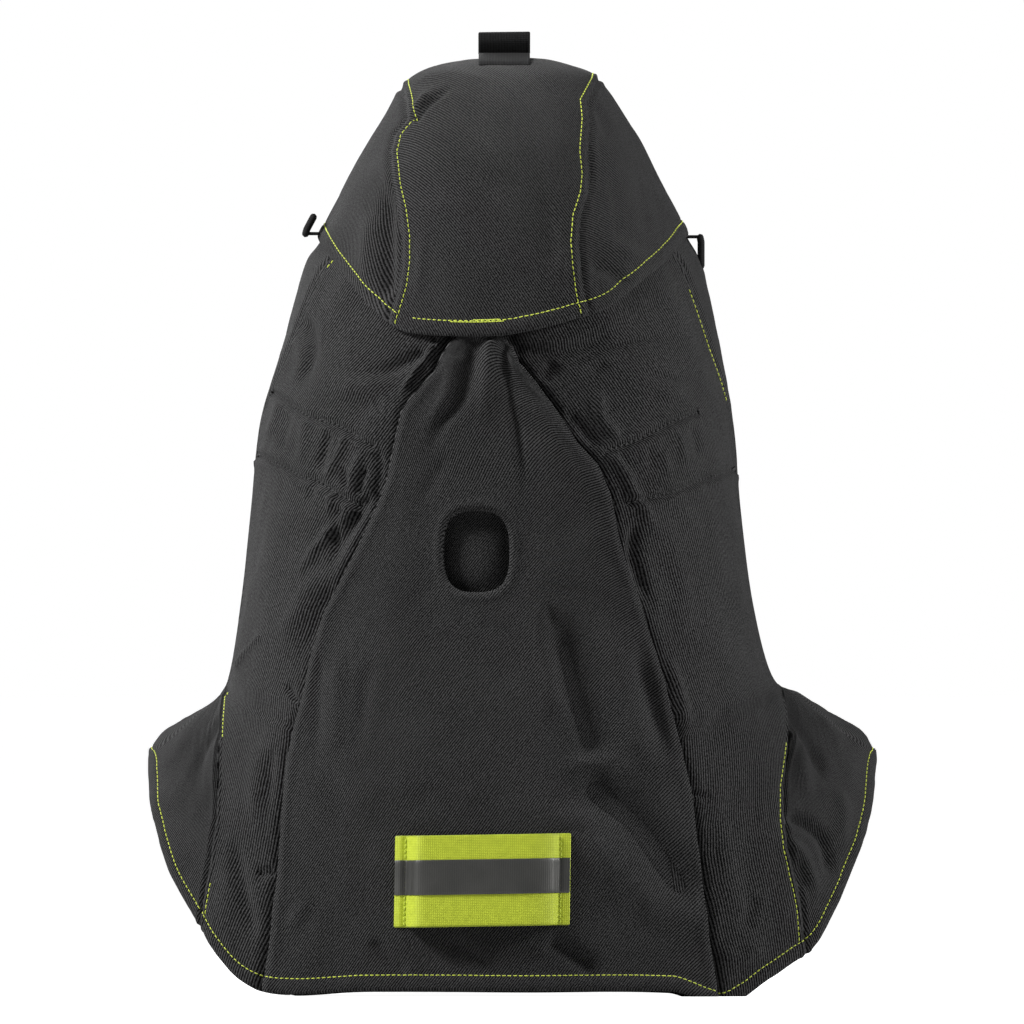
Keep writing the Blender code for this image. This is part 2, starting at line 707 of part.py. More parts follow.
def box(name, size, place, group):
    bm = bmesh.new()
    bmesh.ops.create_cube(bm, size=1.0)
    bmesh.ops.scale(bm, vec=size, verts=bm.verts)
    mesh = bpy.data.meshes.new(name)
    bm.to_mesh(mesh)
    bm.free()
    obj = add_object(name, mesh, group, BLACK, 0.8)
    obj.location = place
    return obj


def build_temple_loops(group):
    half = TEMPLE_THICK / 2
    outline = [(-half, 0.0042), (-half, TEMPLE_LENGTH - 0.002), (0.0, TEMPLE_LENGTH),
               (half, TEMPLE_LENGTH - 0.002), (half, 0.0042), (0.0, 0.0012)]
    for side, word, turn in ((-1, "left", TEMPLE_LEAN), (1, "right", math.pi)):
        hem = lifted(CROWN, side, CROWN_HEM - 0.02, 0.0012)
        middle = hem + Vector((side * TEMPLE_TAB / 2, 0, 0))
        box("temple_tab_" + word, (TEMPLE_TAB, TEMPLE_WIDTH, WEBBING), middle, group)
        loop = flat_strip("temple_loop_" + word, outline, TEMPLE_WIDTH, group, BLACK, 0.8)
        loop.location = hem + Vector((side * (TEMPLE_TAB + 0.0008), 0, 0))
        loop.rotation_euler = (math.pi / 2, turn, 0)


def main():
    clear_scene()
    parts = collection("protective_hood")
    cutters = collection("cutters")
    build_crown(parts)
    crown_threads(parts)
    build_back(parts, cutters)
    build_gussets(parts)
    build_front(parts)
    build_face(parts)
    build_linings(parts)
    build_elastics(parts)
    cape_threads(parts)
    build_tape(parts)
    build_top_loop(parts)
    build_temple_loops(parts)


main()
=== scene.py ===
# Looks of the firefighter's protective hood with a shoulder cape, seen from behind.
#
# Frame: metres, +Z up, origin at the inside of the crown.  -Y is the back of the hood, +X is to the
# right as seen from behind.  Heights in the tables are measured up from the cape's lowest edge.
import json
import math

import bmesh
import bpy
import numpy as np
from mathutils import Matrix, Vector


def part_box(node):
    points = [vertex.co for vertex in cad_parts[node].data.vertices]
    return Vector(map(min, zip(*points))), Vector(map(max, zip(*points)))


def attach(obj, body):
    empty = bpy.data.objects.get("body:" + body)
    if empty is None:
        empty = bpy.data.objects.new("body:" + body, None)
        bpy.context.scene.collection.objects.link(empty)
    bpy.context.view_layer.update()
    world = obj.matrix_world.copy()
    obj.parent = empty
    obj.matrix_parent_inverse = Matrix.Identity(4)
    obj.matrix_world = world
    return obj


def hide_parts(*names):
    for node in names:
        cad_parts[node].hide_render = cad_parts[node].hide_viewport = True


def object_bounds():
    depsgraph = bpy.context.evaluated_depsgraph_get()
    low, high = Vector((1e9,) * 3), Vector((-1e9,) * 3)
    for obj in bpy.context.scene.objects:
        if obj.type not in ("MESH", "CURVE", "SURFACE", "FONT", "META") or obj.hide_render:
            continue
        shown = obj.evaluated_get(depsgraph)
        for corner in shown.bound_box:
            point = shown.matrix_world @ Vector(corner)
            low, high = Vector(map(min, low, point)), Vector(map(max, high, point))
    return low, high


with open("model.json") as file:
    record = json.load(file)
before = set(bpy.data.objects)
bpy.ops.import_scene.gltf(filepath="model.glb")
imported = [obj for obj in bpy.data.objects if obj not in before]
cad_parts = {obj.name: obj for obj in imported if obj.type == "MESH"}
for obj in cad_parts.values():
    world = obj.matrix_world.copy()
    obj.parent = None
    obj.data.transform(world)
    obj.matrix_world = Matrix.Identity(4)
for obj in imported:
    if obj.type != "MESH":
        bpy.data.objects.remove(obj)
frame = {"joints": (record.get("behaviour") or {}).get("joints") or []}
cad_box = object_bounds()

MM = 0.001
HEAD_TOP = 0.505            # height of the wearer's head top above the cape's lowest edge
CLOTH = 0.0025              # padded outer cloth
HEM_THICK = 0.0013          # turned hems and facings
LINING = 0.0013
BACK_LIFT = 0.0052          # the back panel stands this far proud of the side panels
LINING_DEPTH = 0.0082
TOPSTITCH = 0.0073          # distance of the topstitching from a hem's edge
FELL = 0.0046               # distance of the topstitching from a seam
STITCH_PITCH = 0.0030
STITCH_LENGTH = 0.0023
STITCH_RADIUS = 0.00031
CELL = 0.0015               # size of the cloth's mesh

# ---------------------------------------------------------------- the form the cloth lies on
# One row a level, from the top down: back, side and front heights, half width, depth to the back
# and to the front, sideways shift, and how far its dip follows the hem (0 none, 1 all).
CROWN = np.array([
    (0.5110, 0.5110, 0.5110, 0.0000, 0.000, 0.000, 0.000, 0),
    (0.5095, 0.5102, 0.5095, 0.0230, 0.025, 0.025, 0.000, 0),
    (0.5025, 0.5040, 0.5020, 0.0460, 0.046, 0.047, 0.000, 0),
    (0.4900, 0.4940, 0.4900, 0.0572, 0.063, 0.065, -0.002, 0),
    (0.4740, 0.4795, 0.4770, 0.0660, 0.078, 0.079, -0.002, 0.1),
    (0.4570, 0.4660, 0.4650, 0.0740, 0.090, 0.089, -0.002, 0.25),
    (0.4330, 0.4480, 0.4530, 0.0835, 0.100, 0.095, -0.003, 0.5),
    (0.4050, 0.4320, 0.4430, 0.0915, 0.107, 0.099, -0.003, 0.75),
    (0.3600, 0.4140, 0.4300, 0.1010, 0.1125, 0.102, -0.003, 1.0),
])
BODY = np.array([
    (0.3760, 0.4270, 0.4270, 0.0890, 0.0990, 0.092, -0.002, 0),
    (0.3600, 0.4110, 0.4110, 0.1010, 0.1035, 0.096, -0.002, 0),
    (0.3460, 0.3970, 0.3970, 0.1085, 0.1065, 0.099, -0.003, 0),
    (0.3150, 0.3640, 0.3640, 0.1160, 0.1095, 0.101, -0.004, 0),
    (0.2700, 0.3150, 0.3120, 0.1275, 0.1110, 0.102, -0.006, 0),
    (0.2250, 0.2650, 0.2550, 0.1325, 0.1140, 0.104, -0.0065, 0),
    (0.1850, 0.2150, 0.2050, 0.1385, 0.1180, 0.109, -0.006, 0),
    (0.1500, 0.1760, 0.1650, 0.1470, 0.1230, 0.115, -0.004, 0),
    (0.1150, 0.1660, 0.1280, 0.1580, 0.1275, 0.119, 0.000, 0.25),
    (0.0780, 0.1570, 0.0880, 0.1718, 0.1315, 0.122, 0.001, 0.5),
    (0.0410, 0.1470, 0.0490, 0.1885, 0.1350, 0.125, 0.002, 0.75),
    (0.0050, 0.1350, 0.0110, 0.1970, 0.1380, 0.128, 0.002, 1.0),
])
CROWN_HEM = len(CROWN) - 1
CAPE_HEM = len(BODY) - 1
SHOULDER_FULLNESS = 0.25
CROWN_DIP = [(0.0, 0.0), (0.25, 0.11), (0.46, 0.32), (0.62, 0.51), (0.74, 0.70), (0.835, 0.87),
             (0.93, 0.95), (1.0, 1.0)]
HEM_DIP = [(0.0, 0.0), (0.13, 0.18), (0.27, 0.37), (0.39, 0.55), (0.50, 0.73), (0.60, 0.88),
           (0.71, 0.965), (0.80, 0.99), (0.89, 1.0), (1.0, 1.0)]

# Seam and panel edges as (across, height), in millimetres, top to hem.
CROWN_SEAM_LEFT = [(-53, 510), (-54, 497), (-52, 488), (-51, 478), (-58, 469), (-60, 460),
                   (-58, 442), (-55, 429), (-53, 414), (-53, 401), (-55, 386), (-59, 372), (-63, 355)]
CROWN_SEAM_RIGHT = [(48, 510), (46, 501), (39, 488), (40, 478), (39, 460), (40, 448), (39, 438),
                    (35, 425), (34, 411), (35, 398), (37, 384), (39, 375), (43, 355)]
BACK_EDGE_LEFT = [(-27, 376), (-30, 358), (-41, 340), (-54, 326), (-59, 319), (-62, 306), (-67, 284),
                  (-71, 272), (-80, 252), (-90.5, 230), (-101, 210), (-108, 186), (-112, 166),
                  (-117, 149), (-121, 131), (-124, 99), (-126, 66), (-130, 34), (-134, 8)]
BACK_EDGE_RIGHT = [(-9, 376), (-4, 358), (6, 345), (24, 324), (38.5, 302), (50, 290), (56.5, 275),
                   (60, 256), (64.5, 240), (73.5, 215), (82, 188), (86.5, 172), (91, 151), (96, 131),
                   (101, 110), (103.5, 88), (107, 64), (110, 36), (114.5, 10)]
# Where each shoulder gusset is sewn to the side panel.
GUSSET_SEAM_LEFT = [(-149, 175), (-154, 166), (-156, 146), (-157, 120), (-158, 99), (-161, 77),
                    (-165, 56), (-167, 40)]
GUSSET_SEAM_RIGHT = [(145, 175), (149, 166), (152, 155), (152.3, 141), (149.5, 120), (149.5, 102),
                     (151.5, 86), (155, 71), (159, 53), (161, 30)]
# How much the real hems rise (millimetres) above the smooth form, by turns round it.
HEM_RISE = [(-1.2, 0), (-0.9, 1.2), (-0.75, 2.4), (-0.656, 6.4), (-0.597, 5.8), (-0.543, 1.7), (-0.497, -0.3),
            (-0.418, -0.5), (-0.27, 3.0), (0.0, 2.7), (0.288, 2.4), (0.385, -7.0), (0.427, -4.0),
            (0.484, 3.6), (0.56, 6.9), (0.614, 4.5), (0.681, 4.2), (0.768, 1.2), (0.9, 0.5), (1.2, 0)]
CROWN_RISE = [(-1.4, 0), (-0.9, 1.0), (-0.684, 0.3), (-0.526, -1.9), (-0.39, -2.8), (-0.29, -1.8),
              (-0.17, -0.1), (0.0, 1.4), (0.07, 3.0), (0.219, 6.4), (0.308, 7.9), (0.453, 8.6),
              (0.603, 7.0), (0.798, 5.0), (1.0, 2.5), (1.5, 0)]
SIDE_SEAM = [(0.0, 0.74), (2.0, 0.77), (3.0, 0.84), (4.0, 0.96), (5.0, 1.02), (7.0, 1.00)]
GUSSET_FOOT = 0.36
LAP = 0.016                 # how far the side panels run under the back panel
FACE_CENTRE = 0.357
FACE_HALF_HEIGHT = 0.073
FACE_HALF_WIDTH = 0.060
HOLE_CENTRE = (-0.0167, 0.2435)
HOLE_SIZE = (0.036, 0.045)
HOLE_POWER = 2.8
HOLE_DEPTH = 0.0012         # how far the cloth seen through the hole sinks in


def through(points, at):
    """Catmull-Rom curve through (position, value...) rows, read at an array of positions."""
    points = np.asarray(points, float)
    x, y = points[:, 0], points[:, 1:]
    at = np.clip(np.asarray(at, float), x[0], x[-1])
    i = np.clip(np.searchsorted(x, at) - 1, 0, len(x) - 2)
    t = ((at - x[i]) / (x[i + 1] - x[i]))[..., None]
    step = y[i + 1] - y[i]
    before = np.where((i > 0)[..., None], y[i] - y[np.maximum(i - 1, 0)], step)
    after = np.where((i + 2 < len(x))[..., None], y[np.minimum(i + 2, len(x) - 1)] - y[i + 1], step)
    start, end = 0.5 * (before + step), 0.5 * (step + after)
    curve = y[i] + start * t + (3 * step - 2 * start - end) * t ** 2 + (start + end - 2 * step) * t ** 3
    return curve[..., 0] if y.shape[1] == 1 else curve


def smooth(x):
    x = np.clip(x, 0, 1)
    return x * x * (3 - 2 * x)


def on_form(levels, u, v):
    """u: -2..2 round the form, 0 centre back, 1 the +X side, 2 centre front.  v: level."""
    u, v = np.broadcast_arrays(np.asarray(u, float), np.asarray(v, float))
    rows = through(np.column_stack([np.arange(len(levels)), levels]), v)
    h_back, h_side, h_front, half, back, front, shift, hem = np.moveaxis(rows, -1, 0)
    angle = u * math.pi / 2
    turn = np.cos(angle)
    reach = np.where(turn > 0, back, front)
    low = np.where(turn > 0, h_back, h_front)
    depth = np.abs(turn)
    hem_dip = CROWN_DIP if levels is CROWN else HEM_DIP
    dip = (1 - hem) * depth ** 2 + hem * through(hem_dip, depth)
    height = h_side + (low - h_side) * dip
    if levels is BODY:
        depth = depth ** (1 - SHOULDER_FULLNESS * hem)
        height = height + through(HEM_RISE, u) * MM * smooth((v - 9.3) / 1.7)
    else:
        height = height + through(CROWN_RISE, u) * MM * smooth((v - 5.5) / 2.5)
    return np.stack([shift + half * np.sin(angle), -np.sign(turn) * reach * depth,
                     height - HEAD_TOP], -1)


def unit(vectors):
    return vectors / np.maximum(np.linalg.norm(vectors, axis=-1, keepdims=True), 1e-12)


def form_normal(levels, u, v):
    step = 0.02
    across = on_form(levels, u + step, v) - on_form(levels, u - step, v)
    down = (on_form(levels, u, np.minimum(v + step, len(levels) - 1))
            - on_form(levels, u, np.maximum(v - step, 0.0)))
    return unit(np.cross(down, across))


def locate(levels, across, height, front=False):
    """The (u, v) of points seen at (across, height) from behind, or from the front."""
    across, height = np.atleast_1d(across).astype(float), np.atleast_1d(height).astype(float)
    start = 1.02 if front else 0.02
    turns = start + 0.04 * np.arange(25)
    su, sv = np.meshgrid(np.concatenate([turns, -turns]), 0.25 * np.arange(1, 4 * (len(levels) - 1) + 1))
    su, sv = su.ravel(), sv.ravel()
    seen = on_form(levels, su, sv)
    u, v = np.zeros(len(across)), np.zeros(len(across))
    for k in range(len(across)):
        near = np.argmin((seen[:, 0] - across[k]) ** 2 + (seen[:, 2] + HEAD_TOP - height[k]) ** 2)
        u[k], v[k] = su[near], sv[near]
    for _ in range(12):
        here = on_form(levels, u, v)
        miss_x, miss_z = across - here[:, 0], height - HEAD_TOP - here[:, 2]
        du = (on_form(levels, u + 0.005, v) - here) / 0.005
        dv = (here - on_form(levels, u, v - 0.005)) / 0.005
        det = du[:, 0] * dv[:, 2] - dv[:, 0] * du[:, 2]
        det = np.where(np.abs(det) < 1e-7, 1e9, det)
        u += np.clip((miss_x * dv[:, 2] - dv[:, 0] * miss_z) / det, -0.1, 0.1)
        v += np.clip((du[:, 0] * miss_z - miss_x * du[:, 2]) / det, -0.5, 0.5)
        v = np.clip(v, 0.05, len(levels) - 1.0)
    return u, v


def outline_edge(outline, inward=0.0):
    """An outline in millimetres as a function from level to turns.  inward draws it to the middle,
    by up to this much, to allow for the panel standing off the form."""
    outline = np.array(outline) * MM
    away = np.clip(np.abs(outline[:, 0]) / 0.07, 0, 1)
    outline[:, 0] -= np.sign(outline[:, 0]) * inward * (0.3 + 0.7 * away)
    u, v = locate(BODY, outline[:, 0], outline[:, 1])
    order = np.argsort(v)
    return lambda at: np.interp(at, v[order], u[order])


# ---------------------------------------------------------------- relief: folds and wrinkles
def noise(x, y, cell, seed):
    """Smooth random heights between -1 and 1, with bumps about one cell wide."""
    table = np.random.default_rng(seed).uniform(-1, 1, (64, 64))
    gx, gy = x / cell, y / cell
    i, j = np.floor(gx).astype(int), np.floor(gy).astype(int)
    fx, fy = gx - i, gy - j
    fx, fy = fx * fx * (3 - 2 * fx), fy * fy * (3 - 2 * fy)
    corner = [[table[(i + a) % 64, (j + b) % 64] for b in (0, 1)] for a in (0, 1)]
    low = corner[0][0] * (1 - fx) + corner[1][0] * fx
    high = corner[0][1] * (1 - fx) + corner[1][1] * fx
    return low * (1 - fy) + high * fy


def along_line(points, x, y):
    """Signed distance from a line, by which side of it, and how far along it, from 0 to 1."""
    points = np.asarray(points, float)
    lengths = np.linalg.norm(np.diff(points, axis=0), axis=1)
    starts = np.concatenate([[0], np.cumsum(lengths)])
    best = np.full(x.shape, 1e9)
    signed, along = np.zeros(x.shape), np.zeros(x.shape)
    for a, b, length, start in zip(points[:-1], points[1:], lengths, starts):
        dx, dy = (b - a) / length
        t = np.clip((x - a[0]) * dx + (y - a[1]) * dy, 0, length)
        ox, oy = x - a[0] - t * dx, y - a[1] - t * dy
        distance = np.hypot(ox, oy)
        closer = distance < best
        best = np.where(closer, distance, best)
        signed = np.where(closer, distance * np.sign(dx * oy - dy * ox), signed)
        along = np.where(closer, (start + t) / starts[-1], along)
    return signed, along


FOLD_DEPTH = 1.5            # how much deeper every listed fold is made


def fold(x, h, points, width, height, lean=0.0, fade=(0.15, 0.3)):
    """A ridge (height above 0) or valley along a line of (across, height) points in millimetres.
    lean raises one side of the line and lowers the other.  fade: share of each end that dies away."""
    points = through(np.column_stack([np.arange(len(points)), np.array(points, float)]),
                     np.linspace(0, len(points) - 1, 4 * len(points))) if len(points) > 2 else points
    distance, along = along_line(np.array(points) * MM, x, h)
    reach = distance / (width * MM)
    swell = smooth(along / max(fade[0], 1e-3)) * smooth((1 - along) / max(fade[1], 1e-3))
    ends = np.where((along <= 0) | (along >= 1), np.exp(-reach ** 2), 1.0)
    return FOLD_DEPTH * (height + lean * reach) * MM * np.exp(-reach ** 2) * swell * ends


# Each fold: points, width, height, lean, fade; all in millimetres.
LEFT_FOLDS = [
    ([(-110, 372), (-106, 356), (-108, 344), (-113, 330)], 3.6, -2.2, 1.2, (0.2, 0.35)),
    ([(-114, 362), (-113, 346), (-117, 332)], 3.0, 1.0, 0.0, (0.3, 0.4)),
    ([(-44, 353), (-57, 346), (-70, 341), (-84, 341)], 3.8, -2.2, -1.0, (0.1, 0.5)),
    ([(-38, 357), (-52, 339), (-60, 327)], 1.5, 1.6, 1.0, (0.05, 0.3)),
    ([(-40, 361), (-39, 351)], 1.0, -1.2, 0.0, (0.05, 0.3)),
    ([(-62, 336), (-80, 333), (-98, 336)], 5.0, 1.3, 0.0, (0.3, 0.4)),
    ([(-66, 322), (-80, 322), (-92, 326)], 4.0, -0.9, 0.6, (0.2, 0.5)),
    ([(-124, 325), (-130, 305)], 2.6, 1.1, 0.5, (0.2, 0.2)),
    ([(-118, 320), (-124, 296)], 2.2, -0.9, 0.0, (0.2, 0.2)),
    ([(-109, 316), (-113, 290)], 3.0, 0.9, 0.0, (0.2, 0.2)),
    ([(-96, 309), (-102, 288)], 2.1, -1.6, 0.8, (0.15, 0.2)),
    ([(-88, 307), (-93, 295), (-100, 283)], 2.0, 1.5, 0.8, (0.15, 0.2)),
    ([(-90, 290), (-87, 277)], 1.8, -1.6, 0.0, (0.25, 0.2)),
    ([(-78, 299), (-84, 285), (-85, 274)], 2.2, 1.5, 0.0, (0.2, 0.2)),
    ([(-71, 303), (-69, 289), (-71, 279), (-71, 266)], 2.3, -1.8, 0.0, (0.2, 0.2)),
    ([(-76, 290), (-79, 281), (-81, 273)], 1.4, -1.8, 1.2, (0.2, 0.2)),
    ([(-90, 268), (-93, 254), (-94, 238)], 2.3, -2.0, 0.8, (0.1, 0.5)),
    ([(-85, 270), (-98, 253), (-107, 241), (-116, 226)], 2.4, 1.9, 0.7, (0.1, 0.5)),
    ([(-74, 278), (-79, 268), (-90, 250), (-98, 230)], 3.4, -2.6, -0.8, (0.15, 0.45)),
    ([(-95, 276), (-98, 264)], 1.6, 1.3, 0.6, (0.1, 0.5)),
    ([(-104, 281), (-108, 268)], 2.0, -0.9, 0.5, (0.1, 0.6)),
    ([(-82, 268), (-88, 258)], 1.6, 1.2, 0.0, (0.2, 0.4)),
    ([(-100, 238), (-112, 214), (-124, 190)], 5.0, 1.5, 0.0, (0.3, 0.4)),
    ([(-92, 232), (-103, 208), (-112, 182)], 3.6, -1.8, 0.0, (0.3, 0.4)),
    ([(-119, 172), (-113, 162)], 1.6, -1.6, 0.6, (0.2, 0.1)),
    ([(-131, 200), (-143, 188), (-149, 178)], 1.3, 1.0, 0.7, (0.2, 0.2)),
    ([(-136, 70), (-127, 72)], 2.2, -2.0, 0.9, (0.3, 0.05)),
    ([(-147, 92), (-143, 66), (-139, 48), (-134, 34)], 4.0, -1.9, 0.8, (0.3, 0.25)),
    ([(-131, 150), (-136, 110), (-134, 80)], 5.0, 1.4, 0.0, (0.3, 0.4)),
    ([(-126, 140), (-130, 100)], 2.6, -1.0, 0.0, (0.3, 0.4)),
]
RIGHT_FOLDS = [
    ([(2, 354), (24, 351), (46, 355), (58, 360)], 4.2, -2.8, 0.0, (0.1, 0.3)),
    ([(24, 345), (37, 346), (53, 352), (76, 358), (92, 364)], 1.8, -1.1, -0.9, (0.2, 0.35)),
    ([(26, 347), (19, 335)], 4.2, -2.0, 0.0, (0.2, 0.2)),
    ([(43, 341), (54, 346)], 2.6, -1.3, 0.0, (0.3, 0.3)),
    ([(48, 334), (48, 318), (56, 307), (62, 305)], 3.6, 2.4, 0.9, (0.3, 0.2)),
    ([(30, 322), (42, 308), (50, 299)], 3.2, -2.2, 0.0, (0.3, 0.25)),
    ([(70, 341), (92, 337), (102, 336)], 2.4, -0.9, 0.6, (0.4, 0.4)),
    ([(80, 326), (98, 331)], 3.2, 0.9, 0.0, (0.4, 0.4)),
    ([(53, 297), (61, 289), (67, 276), (74, 264), (80, 250)], 3.2, 2.3, 0.0, (0.2, 0.4)),
    ([(60, 297), (66, 286)], 1.8, -1.0, 0.0, (0.2, 0.4)),
    ([(69, 262), (68, 243), (72, 230), (79, 210)], 3.2, -3.0, 0.8, (0.25, 0.35)),
    ([(83, 300), (86, 284)], 2.4, 0.7, 0.0, (0.3, 0.3)),
    ([(100, 314), (104, 292)], 2.4, -0.7, 0.4, (0.3, 0.3)),
    ([(92, 309), (96, 290)], 2.4, 0.8, 0.0, (0.3, 0.3)),
    ([(76, 303), (78, 285)], 2.0, -0.6, 0.0, (0.3, 0.3)),
    ([(88, 262), (94, 230), (100, 190)], 6.0, 1.1, 0.0, (0.3, 0.5)),
    ([(86, 190), (93, 165), (98, 140)], 3.0, 1.5, 0.0, (0.3, 0.4)),
    ([(99, 114), (110, 111)], 1.6, -1.4, 0.7, (0.15, 0.5)),
    ([(112, 110), (118, 70), (126, 40)], 6.0, 1.2, 0.0, (0.3, 0.3)),
    ([(134, 60), (128, 38)], 4.0, -1.2, 0.5, (0.3, 0.3)),
    ([(112, 30), (126, 24), (140, 34)], 5.0, 1.2, 0.0, (0.3, 0.3)),
]
BACK_FOLDS = [
    ([(-17, 360), (-20, 344), (-25, 327), (-34, 315), (-41, 300), (-47, 286)], 4.2, -2.0, -0.9, (0.05, 0.5)),
    ([(-2, 362), (0, 341), (3, 325), (6, 308), (8, 290), (9, 262)], 3.0, -1.7, 0.8, (0.1, 0.5)),
    ([(-9, 358), (-11, 335), (-14, 305)], 4.0, 1.8, 0.0, (0.05, 0.5)),
    ([(-28, 350), (-33, 326), (-46, 306)], 3.4, 1.5, 0.0, (0.1, 0.5)),
    ([(-30, 300), (-40, 280), (-50, 262)], 4.0, -1.0, 0.0, (0.3, 0.5)),
    ([(14, 330), (24, 305), (34, 280)], 5.0, 0.9, 0.0, (0.3, 0.5)),
    ([(-97, 190), (-99, 168), (-101, 120)], 3.4, -1.2, 0.5, (0.2, 0.5)),
    ([(-88, 198), (-90, 160), (-92, 120)], 4.4, 1.0, 0.0, (0.3, 0.5)),
    ([(-70, 188), (-75, 168), (-79, 132)], 4.4, -1.3, 0.0, (0.3, 0.5)),
    ([(-105, 56), (-117, 38)], 3.6, 1.1, 0.0, (0.3, 0.3)),
    ([(-72, 36), (-62, 24), (-52, 18)], 4.0, -1.5, 0.6, (0.2, 0.2)),
    ([(-33, 37), (-20, 27), (-6, 20)], 4.0, -1.3, 0.5, (0.2, 0.2)),
    ([(20, 37), (34, 26), (50, 16)], 5.0, -3.2, -0.8, (0.2, 0.25)),
    ([(36, 130), (44, 117), (54, 108), (65, 98), (76, 84), (90, 66), (107, 44)],
     9.5, -6.0, -1.4, (0.2, 0.25)),
    ([(22, 110), (36, 94), (52, 78), (70, 58), (86, 36)], 8.0, 2.8, 0.0, (0.3, 0.3)),
    ([(24, 216), (30, 188), (38, 158), (46, 128)], 9.0, -4.8, -0.8, (0.3, 0.15)),
    ([(46, 214), (53, 186), (64, 148), (78, 112)], 7.0, 2.4, 0.0, (0.3, 0.4)),
    ([(66, 196), (76, 160), (86, 124)], 5.0, -3.2, 0.0, (0.3, 0.4)),
    ([(12, 220), (18, 180), (22, 140)], 7.0, 1.2, 0.0, (0.3, 0.4)),
    ([(60, 240), (66, 214)], 4.0, 0.9, 0.0, (0.3, 0.5)),
    ([(20, 216), (26, 200)], 3.0, -0.9, 0.4, (0.3, 0.5)),
    ([(-40, 120), (-52, 96)], 7.0, -0.9, 0.0, (0.4, 0.4)),
]
GUSSET_FOLDS = [
    ([(149, 168), (157, 150), (166, 134), (171, 118)], 3.0, -2.6, 0.8, (0.2, 0.3)),
    ([(164, 158), (174, 146), (182, 134)], 4.0, 1.2, 0.0, (0.3, 0.3)),
    ([(150, 152), (157, 130), (163, 108)], 4.5, 2.4, 0.0, (0.2, 0.3)),
    ([(149, 102), (162, 95), (171, 86), (175, 66)], 3.4, -3.0, -1.6, (0.15, 0.25)),
    ([(152, 90), (161, 76), (167, 57)], 3.0, 1.8, 0.0, (0.2, 0.3)),
    ([(156, 78), (160, 60)], 2.4, -1.2, 0.0, (0.3, 0.3)),
    ([(176, 118), (181, 100), (179, 84)], 4.0, 1.6, 0.0, (0.3, 0.3)),
]
CROWN_FOLDS = [
    ([(-52, 477), (-46, 486), (-40, 491), (-28, 497)], 2.3, -1.9, 1.2, (0.05, 0.5)),
    ([(-51, 483), (-42, 495)], 2.2, 1.1, 0.0, (0.2, 0.4)),
    ([(-64, 445), (-65, 415), (-64, 378)], 3.6, -3.0, 0.8, (0.3, 0.15)),
    ([(-74, 430), (-77, 400), (-72, 380)], 5.0, 1.4, 0.0, (0.3, 0.3)),
    ([(44, 398), (54, 396), (68, 387)], 3.6, -1.8, 0.7, (0.2, 0.4)),
    ([(46, 412), (60, 408), (78, 398)], 5.0, 1.2, 0.0, (0.3, 0.4)),
    ([(20, 444), (24, 420), (21, 388)], 4.5, -0.9, 0.5, (0.4, 0.4)),
    ([(31, 410), (28, 390)], 2.6, 0.8, 0.0, (0.3, 0.3)),
    ([(-46, 420), (-47, 400), (-50, 380)], 3.0, 0.7, 0.0, (0.3, 0.3)),
    ([(45, 488), (52, 478), (58, 462)], 3.2, -0.9, 0.5, (0.1, 0.5)),
    ([(-20, 440), (10, 444)], 9.0, -0.7, 0.0, (0.4, 0.4)),
]
# Quilted lines that hold the elastic inside the side panels.
CHANNELS_LEFT = [[(-134, 333), (-127, 329), (-116, 321), (-107, 316), (-93, 312), (-82, 306), (-72, 300)],
                 [(-136, 296), (-124, 290), (-113, 284), (-104, 282), (-95, 276), (-87, 272), (-80, 268)]]
CHANNELS_RIGHT = [[(52, 298), (62, 301), (74, 306), (85, 312), (95, 316), (104, 319)],
                  [(64, 270), (75, 272), (86, 275), (96, 278), (107, 283), (124, 288)]]


def folds(x, h, back, listed):
    """Relief of a list of folds at places (across, height), on the back of the hood only."""
    total = np.zeros(x.shape)
    for points, width, height, lean, fade in listed:
        total += fold(x, h, points, width, height, lean, fade)
    return total * back


def channels(x, h, back, lines):
    """Two quilted grooves, the cloth gathered and puffed between and beside them."""
    total = np.zeros(x.shape)
    for line in lines:
        distance, along = along_line(np.array(line) * MM, x, h)
        inside = (along > 0) & (along < 1)
        length = np.linalg.norm(np.diff(np.array(line), axis=0), axis=1).sum()
        gather = 0.5 + 0.5 * np.sin(along * length / 2.6 + 2.0 * np.sin(along * 9))
        total -= inside * 2.8 * MM * np.exp(-(distance / (1.6 * MM)) ** 2)
        near = np.exp(-((np.abs(distance) - 3.6 * MM) / (2.4 * MM)) ** 2)
        total += inside * (0.45 + 0.55 * gather) * MM * near
    return total * back


def drape(cloth, seed, strength=1.0):
    """Soft random waviness of hung cloth, longer up and down than across."""
    x, y = cloth[..., 0], cloth[..., 1]
    return strength * MM * (1.40 * noise(x, y * 0.6, 0.042, seed) + 0.75 * noise(x, y * 0.6, 0.016, seed + 1)
                            + 0.22 * noise(x, y, 0.007, seed + 2) + 0.06 * noise(x, y, 0.0032, seed + 3))


# ---------------------------------------------------------------- patches of cloth
def run(points, axis):
    """Distance from the first row or column of a grid of points, measured along the grid."""
    steps = np.linalg.norm(np.diff(points, axis=axis), axis=-1)
    first = np.zeros_like(np.take(steps, [0], axis))
    return np.concatenate([first, np.cumsum(steps, axis)], axis)


def grid_faces(index):
    """Four-sided faces over a grid of point numbers."""
    return np.stack([index[:-1, :-1], index[:-1, 1:], index[1:, 1:], index[1:, :-1]], -1).reshape(-1, 4)


def diagonal_cross(points, faces):
    """A vector along each face's normal."""
    corners = points[faces]
    return np.cross(corners[:, 2] - corners[:, 0], corners[:, 3] - corners[:, 1])


